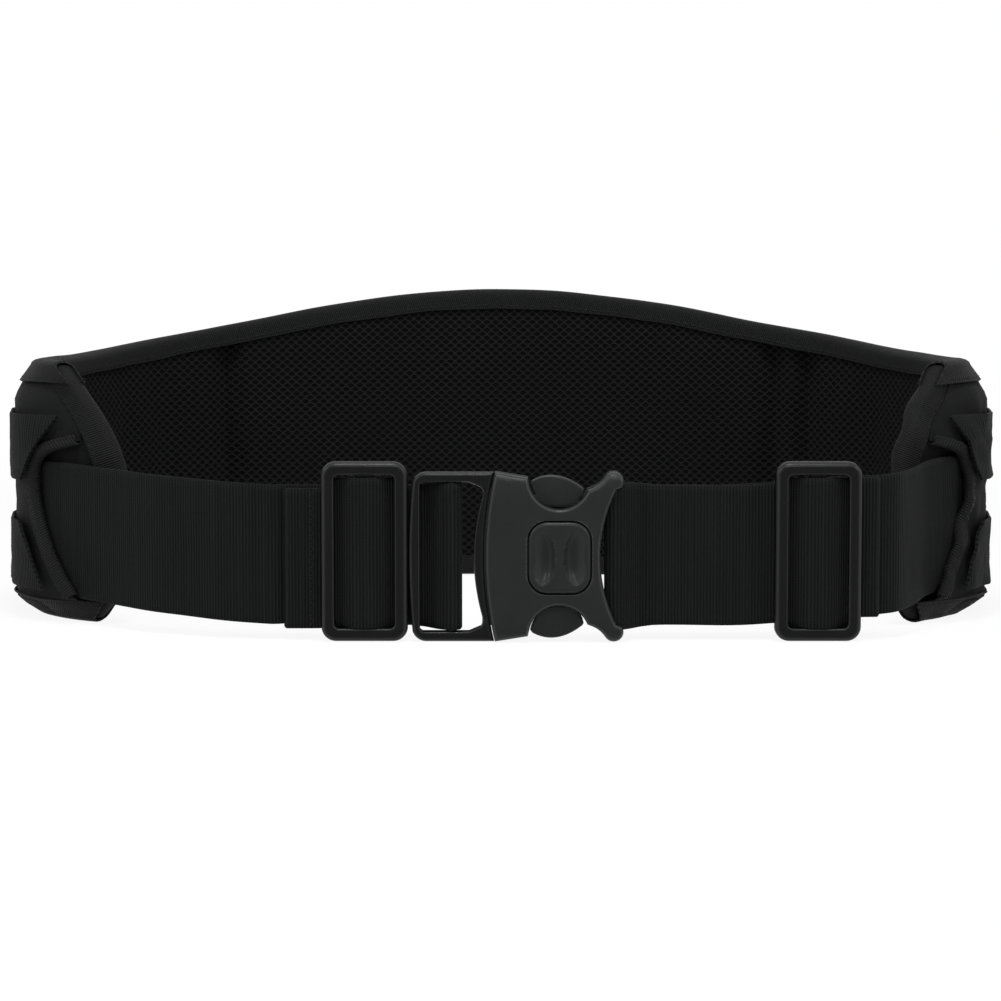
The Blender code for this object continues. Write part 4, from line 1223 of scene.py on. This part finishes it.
# %% A face filled with points
def filled(loops, size):
    """Triangles between the first loop and the others, and the points added inside them."""
    points, edges = [], []
    for loop in loops:
        first = len(points)
        points += loop
        edges += [(first + i, first + (i + 1) % len(loop)) for i in range(len(loop))]
    rim = len(points)
    if size:
        (left, low), (right, high) = np.min(loops[0], axis=0), np.max(loops[0], axis=0)
        rows = enumerate(np.arange(low, high, size * 0.87))
        grid = np.array([(x + size / 2 * (j % 2), z) for j, z in rows for x in np.arange(left, right, size)])
        points += [tuple(p) for p in grid[between_loops(loops, grid) & (distances(loops, grid) > 0.6 * size)]]
    flat = [Vector(p) for p in points]
    made, _, faces, origin, _, _ = geometry.delaunay_2d_cdt(flat, edges, [], 0, 1e-7)
    names = [list(o)[0] if len(o) else None for o in origin]
    centres = np.array([[sum(made[i].x for i in f) / 3, sum(made[i].y for i in f) / 3] for f in faces])
    kept = between_loops(loops, centres)
    return points[rim:], [tuple(names[i] for i in f) for f, keep in zip(faces, kept) if keep]


# %% A moulded plate
def moulding(name, loops, back, front, rims=(), back_rim=0.0, size=None, relief=lambda x, z: 0.0):
    """A plate between two v heights. The first loop is its outline and the others are openings, and rims holds
    the width and depth of the rounding round each."""
    points, faces, starts = [], [], []

    def bridge(first, second, count):
        faces.extend((first + i, first + (i + 1) % count, second + (i + 1) % count, second + i) for i in range(count))

    def rounded(loop, width, depth, level_of, turns):
        """Rings from the wall over the rim, and the last ring's outline."""
        for k in range(turns + 1):
            angle = math.pi / 2 * k / turns if turns else math.pi / 2
            ring = inset(loop, width * (1 - math.cos(angle)))
            drop = depth * (1 - math.sin(angle))
            starts.append(len(points))
            points.extend((x, FRONT_Y - level_of(x, z, drop), z) for x, z in ring)
            if k:
                bridge(starts[-2], starts[-1], len(loop))
        return ring, starts[-1]

    def front_level(x, z, drop=0.0):
        return front + relief(x, z) - drop

    def back_level(x, z, drop=0.0):
        return back + drop

    front_ends, back_ends = [], []
    for number, loop in enumerate(loops):
        sign = -1.0 if number else 1.0
        rim, rim_depth = rims[number] if rims else (0.0, 0.0)
        turns, back_turns = 6 if rim else 0, 3 if back_rim else 0
        front_ends.append(rounded(loop, sign * rim, rim_depth, front_level, turns))
        wall = starts[-1 - turns]
        back_ends.append(rounded(loop, sign * back_rim, back_rim, back_level, back_turns))
        bridge(wall, starts[-1 - back_turns], len(loop))
    for ends, spacing, level_of in ((front_ends, size, front_level), (back_ends, None, back_level)):
        added, triangles = filled([ring for ring, _ in ends], spacing)
        names = [last + i for ring, last in ends for i in range(len(ring))]
        names += range(len(points), len(points) + len(added))
        points.extend((x, FRONT_Y - level_of(x, z), z) for x, z in added)
        faces.extend(tuple(names[i] for i in triangle) for triangle in triangles)
    return piece_of(name, points, faces, [(x, z) for x, _, z in points], FRAME_PLASTIC)


# %% Cutting and joining
REACH = 0.03


def combine(piece, other, operation="DIFFERENCE"):
    """Cuts the other piece away, or joins it on, and leaves one plain mesh."""
    step = piece.modifiers.new("join", "BOOLEAN")
    step.object, step.operation, step.solver = other, operation, "EXACT"
    apply_modifiers(piece)
    bpy.data.objects.remove(other)


def cut(piece, outline, back, front):
    combine(piece, moulding("core", [outline], back, front))


def join(piece, outline, back, front, rim, back_rim=0.0):
    combine(piece, moulding("addition", [outline], back, front, ((rim, rim),), back_rim), "UNION")


def join_bar(piece, x, low, high, sides=28):
    """Joins a round bar for the webbing to the piece; its ends sink into the frame."""
    angles = [2 * math.pi * i / sides for i in range(sides)]
    ring = [(x + BAR_RADIUS * math.cos(a), FRONT_Y - BAR_V - BAR_RADIUS * math.sin(a)) for a in angles]
    points = [(x, y, z) for z in (low - 0.001, high + 0.001) for x, y in ring]
    faces = [(i, (i + 1) % sides, sides + (i + 1) % sides, sides + i) for i in range(sides)]
    faces += [tuple(range(sides)), tuple(range(sides, 2 * sides))]
    combine(piece, piece_of("bar", points, faces, [(x, z) for x, _, z in points], FRAME_PLASTIC), "UNION")


# %% The finish of a moulding
def paint_rim_highlights(piece, most):
    """Marks the rounded rims that face the front, by how far their normals tilt, for a painted highlight that makes
    them paler.
    """
    marks = piece.data.attributes.new("painted_rim_highlight", "FLOAT", "POINT")
    for vertex in piece.data.vertices:
        tilt = math.degrees(math.acos(clamp(-vertex.normal.y, -1.0, 1.0)))
        marks.data[vertex.index].value = most * smooth((tilt - 12) / 18) * (1 - smooth((tilt - 48) / 25))


def finish_moulding(piece, body, node, finish=FRAME_PLASTIC, painted_rim_highlight=0.8):
    piece.data.materials.clear()
    piece.data.materials.append(finish)
    piece.data.shade_smooth()
    piece.data.set_sharp_from_angle(angle=math.radians(32))
    # The front rims get a painted highlight, which paints them paler.
    paint_rim_highlights(piece, painted_rim_highlight)
    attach(piece, body)
    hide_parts(node)
    report(piece)


# %% The sliders
BORDER, SLIDER_CORNER, WINDOW_CORNER = 0.0047, 0.0052, 0.0018
OUTER_BAR_V, CENTRE_BAR_V = 0.0042, 0.0025


def slider_piece(node):
    low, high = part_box(node)
    left, right, bottom, top = low.x + BORDER, high.x - BORDER, BORDER, high.z - BORDER
    outline = rounded_outline(low.x, high.x, 0.0, high.z, SLIDER_CORNER)
    loops = [evened(outline), evened(rounded_outline(left, right, bottom, top, WINDOW_CORNER, 6))]
    rims = ((0.0021, 0.0022), (0.0008, 0.0010))
    piece = moulding(node + "_frame", loops, FRAME_BACK_V, FRAME_FRONT_V, rims, 0.0008, 0.0012)
    cut(piece, rectangle(low.x - REACH, high.x + REACH, bottom, top), -REACH, OUTER_BAR_V)
    middle = (low.x + high.x) / 2
    centre_bar = rectangle(middle - 0.003, middle + 0.003, bottom - 0.001, top + 0.001)
    join(piece, centre_bar, CENTRE_BAR_V, CENTRE_BAR_V + 0.002, 0.0005)
    finish_moulding(piece, node, node)


for end in SIDES:
    slider_piece(end + "_slider")

# %% The plug's frame
PLUG_LEFT, BUCKLE_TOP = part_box("buckle_plug")[0].x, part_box("buckle_plug")[1].z
BUCKLE_MIDDLE = BUCKLE_TOP / 2
SOCKET_LEFT, BOW = -0.0020, 0.0035
PLUG_CORNER, PLUG_BOW = 0.0052, 0.0016
PRONG_ROOT_X = 0.0008


def plug_piece():
    at, corner = PLUG_LEFT + PLUG_CORNER + 0.0010, PLUG_CORNER
    edge = bowed_edge(PLUG_LEFT + PLUG_BOW, PLUG_BOW, 0.0, BUCKLE_TOP)
    outline = bowed_edge(SOCKET_LEFT - GAP, BOW, 0.0, BUCKLE_TOP)
    outline += arc(at, BUCKLE_TOP - corner, corner, 90, 160, 8)
    outline += [(x, z) for x, z in edge[::-1] if corner < z < BUCKLE_TOP - corner]
    outline += arc(at, corner, corner, 200, 270, 8)
    left, low, high = PLUG_LEFT + 0.0040, 0.0036, BUCKLE_TOP - 0.0036
    window = [(left + 0.001, low), (-0.0112, low), (-0.0070, low + 0.0018)]
    window += bowed_edge(-0.0060, BOW, low + 0.0035, high - 0.0035)
    window += [(-0.0070, high - 0.0018), (-0.0112, high), (left + 0.001, high)]
    window += [(left, high - 0.001), (left, low + 0.001)]
    loops, rims = [evened(outline), evened(window)], ((0.0013, 0.0020), (0.0006, 0.0010))
    piece = moulding("plug_frame", loops, FRAME_BACK_V, FRAME_FRONT_V, rims, 0.0007, 0.0012)
    cut(piece, rectangle(PLUG_LEFT - REACH, left + 0.0008, low, high), -REACH, OUTER_BAR_V)
    join_bar(piece, PLUG_BAR_X, low, high)
    collar = rounded_outline(-0.0065, PRONG_ROOT_X + 0.0007, 0.0058, BUCKLE_TOP - 0.0058, 0.0006, 3)
    join(piece, collar, BAR_V - 0.0020, BAR_V + 0.0020, 0.0003)
    finish_moulding(piece, "plug", "buckle_plug")


plug_piece()

# %% Sizes of the socket
SOCKET_DEEP, SOCKET_WALL, SOCKET_MARGIN = 0.0124, 0.0036, 0.0052
SOCKET_FRONT_V, SOCKET_BACK_V = BAR_V + SOCKET_DEEP / 2, BAR_V - SOCKET_DEEP / 2
CAVITY_HALF = SOCKET_DEEP / 2 - SOCKET_WALL
HOLLOW_END, POCKET_START = 0.0335, 0.0364
CUT_X, CUT_AWAY, CUT_RADIUS = 0.0208, 0.0280, 0.0108
HORN_X, HORN_RADIUS = 0.0402, 0.0035
BUTTON_X, BUTTON_WIDTH, BUTTON_HEIGHT, BUTTON_CORNER = 0.0209, 0.0220, 0.0254, 0.0066


# %% The socket's outline and face
def socket_side():
    """The upper half of the socket's outline, as x and distance from the buckle's middle."""
    horn_away = BUCKLE_MIDDLE - HORN_RADIUS
    fork = horn_away - HORN_RADIUS * 0.8
    right = [(0.0354 + 0.0056 * (i / 14) ** 2, fork * i / 14) for i in range(15)]
    roll = arc(HORN_X, horn_away, HORN_RADIUS, -35, 140, 16)
    side_cut = arc(CUT_X, CUT_AWAY, CUT_RADIUS, -22, -170, 26)
    start, end, sag = Vector(roll[-1]), Vector(side_cut[0]), Vector((0.0006, -0.0006))
    neck = [tuple(start.lerp(end, share) + sag * math.sin(math.pi * share)) for share in (0.2, 0.4, 0.6, 0.8)]
    left = bowed_edge(SOCKET_LEFT, BOW, 0.0, BUCKLE_TOP)[::-1]
    shoulder = [(0.0097, BUCKLE_MIDDLE - 0.0020)] + [(x, z - BUCKLE_MIDDLE) for x, z in left if z > BUCKLE_MIDDLE]
    return right + roll + neck + side_cut + shoulder


def from_middle(points, sign):
    return [(x, BUCKLE_MIDDLE + sign * away) for x, away in points][::sign]


def button_outline(grow):
    half_width, half_height = BUTTON_WIDTH / 2 + grow, BUTTON_HEIGHT / 2 + grow
    x, z = BUTTON_X, BUCKLE_MIDDLE
    return rounded_outline(x - half_width, x + half_width, z - half_height, z + half_height, BUTTON_CORNER + grow, 12)


def socket_relief(x, z):
    """The face falls away toward its upper and lower ends."""
    share = clamp((abs(z - BUCKLE_MIDDLE) - 0.0215) / 0.0092)
    return -0.0021 * (1 - math.sqrt(1 - share**2)) - 0.0003 * ((x - 0.02) / 0.02) ** 2


# %% The socket
def socket_piece():
    side = socket_side()
    outline = evened(from_middle(side, 1) + from_middle(side[1:] + [(SOCKET_LEFT - BOW, 0.0)], -1), 0.002)
    rims = ((0.0013, 0.0020),)
    piece = moulding("socket_shell", [outline], SOCKET_BACK_V, SOCKET_FRONT_V, rims, 0.0010, 0.0011, socket_relief)
    hollow = rectangle(-REACH, HOLLOW_END, SOCKET_MARGIN, BUCKLE_TOP - SOCKET_MARGIN)
    cut(piece, hollow, BAR_V - CAVITY_HALF, BAR_V + CAVITY_HALF)
    low, high = MIDDLE_FRONT - WIDTH / 2 - GAP, MIDDLE_FRONT + WIDTH / 2 + GAP
    pocket = rectangle(POCKET_START, POCKET_START + REACH, low, high)
    cut(piece, pocket, -REACH, BAR_V + BAR_RADIUS + WEBBING + 2 * GAP)
    cut(piece, button_outline(0.0005), BAR_V, REACH)
    lip = moulding("lip", [button_outline(0.0012)], SOCKET_FRONT_V - 0.0004, REACH)
    shrunk = 1 - 0.0007 / 0.0125
    for vertex in lip.data.vertices:
        if vertex.co.y > FRONT_Y - SOCKET_FRONT_V:
            vertex.co.x = BUTTON_X + (vertex.co.x - BUTTON_X) * shrunk
            vertex.co.z = BUCKLE_MIDDLE + (vertex.co.z - BUCKLE_MIDDLE) * shrunk
    combine(piece, lip)
    join_bar(piece, SOCKET_BAR_X, low, high)
    finish_moulding(piece, "belt", "buckle_socket", SHELL_PLASTIC)


socket_piece()


# %% The prongs
ARM_INNER, ARM_TOP = 0.0175, 0.0220
TIP, HEAD_X, HEAD_AWAY = 0.0312, 0.0178, 0.0290


def prong_piece(node, sign):
    """A side prong: a flat arm and a head with a crowned face that fills the cut-out."""
    points = [(PRONG_ROOT_X + 0.0005, ARM_INNER), (TIP - 0.0008, ARM_INNER - 0.0002), (TIP, ARM_INNER + 0.0006)]
    points += [(TIP, 0.0195), (0.0278, 0.0199), (0.0287, 0.0211), (0.0293, 0.0224), (0.0296, 0.0238)]
    for x in steps(-0.0292, -0.0112, 0.0009):
        slope = 34.5 if -x > HEAD_X else 42.0
        points.append((-x, HEAD_AWAY - slope * (-x - HEAD_X) ** 2))
    reached = CUT_RADIUS - 0.0004
    for away in (0.0262, 0.0248, 0.0234, ARM_TOP):
        points.append((CUT_X - math.sqrt(reached**2 - (CUT_AWAY - away) ** 2), away))
    points += [(PRONG_ROOT_X, ARM_TOP), (PRONG_ROOT_X, ARM_INNER + 0.0022)]

    def crowned(x, z):
        away = math.hypot(x - CUT_X, abs(z - BUCKLE_MIDDLE) - 0.0250)
        return 0.0007 * (1 - smooth(away / 0.0095))

    low, outline = BAR_V - 0.0018, evened(from_middle(points, sign), 0.002)
    piece = moulding(node + "_arm", [outline], low, low + 0.0037, ((0.0006, 0.0009),), 0.0005, 0.0011, crowned)
    finish_moulding(piece, node, node, SHELL_PLASTIC)


prong_piece("upper_prong", 1)
prong_piece("lower_prong", -1)


# %% The button
def dented(x, z):
    """Two dents with their steep sides at the ridge between them."""
    x, z = x - BUTTON_X, z - BUCKLE_MIDDLE
    fall = 0.0
    for side in (-1, 1):
        across = (x - side * 0.0061) / 0.0044
        bowl = max(0.0, 1 - across**2 - (z / 0.0096) ** 2)
        fall += 0.0022 * bowl**0.65 * (1 - 0.55 * side * across)
    return -fall - 0.0004 * (1 - smooth((math.hypot(x / 0.88, z) - 0.006) / 0.006))


def button_piece():
    back, top, rims = BAR_V + CAVITY_HALF - 0.0004, SOCKET_FRONT_V + 0.0005, ((0.0015, 0.0013),)
    piece = moulding("button_pad", [button_outline(0.0)], back - 0.0001, top, rims, 0.0, 0.0007, dented)
    for side in (-1, 1):
        low, high = sorted((BUCKLE_MIDDLE + side * 0.0100, BUCKLE_MIDDLE + side * 0.0140))
        room_for_prong = rounded_outline(BUTTON_X - 0.013, BUTTON_X + 0.013, low, high, 0.0004, 2)
        cut(piece, room_for_prong, back - 0.0020, back + 0.0023)
    low, high = BUCKLE_MIDDLE - 0.0075, BUCKLE_MIDDLE + 0.0075
    join(piece, rounded_outline(PRONG_ROOT_X, 0.0318, low, high, 0.0015, 4), back - 0.0025, back, 0.0004, 0.0004)
    # The button's rims get a weaker painted highlight.
    finish_moulding(piece, "button", "centre_button", SHELL_PLASTIC, 0.25)


button_piece()

# %% [markdown]
# The ground
#
# The belt stands on a wide white floor. For the camera most of the floor's colour is its own steady white, and
# the rest is lit, so that the belt's soft shadow stays and the ground never needs more light than the belt.

# %% The floor
WHITE = (1.0, 1.0, 1.0, 1.0)
FLOOR_HALF = 6.0


def floor():
    finish = Finish("white_ground", 0.8, specular=0.0)
    finish.colour((0.90, 0.90, 0.90, 1.0))
    away = finish.node("ShaderNodeVectorMath", {0: finish.object_place()}, 1, operation="LENGTH")
    share = finish.seen() * (0.90 + 0.10 * finish.step(away, 0.35, 1.0))
    glow = finish.node("ShaderNodeEmission", {"Color": WHITE})
    lit = Wire(finish, finish.shader.outputs[0])
    mixed = finish.node("ShaderNodeMixShader", {0: share, 1: lit, 2: glow})
    finish.feed(finish.tree.nodes["Material Output"].inputs[0], mixed)
    mesh = bpy.data.meshes.new("ground")
    corners = rectangle(-FLOOR_HALF, FLOOR_HALF, -FLOOR_HALF, FLOOR_HALF)
    mesh.from_pydata([(x, y, 0) for x, y in corners], [], [(0, 1, 2, 3)])
    mesh.materials.append(finish.material)
    return shown("ground", mesh, (0.0, 0.0, -0.0002))


floor()


# %% The sky: dim for the belt, and white for the camera
def sky():
    world = bpy.data.worlds.new("studio")
    world.use_nodes = True
    world.node_tree.nodes.clear()
    nodes = Nodes(world.node_tree)
    dim, white = [nodes.node("ShaderNodeBackground", {"Color": WHITE, "Strength": power}) for power in (0.30, 1.0)]
    mixed = nodes.node("ShaderNodeMixShader", {0: nodes.seen(), 1: dim, 2: white})
    nodes.node("ShaderNodeOutputWorld", {0: mixed})
    return world


scene.world = sky()
scene.view_settings.view_transform = "Standard"
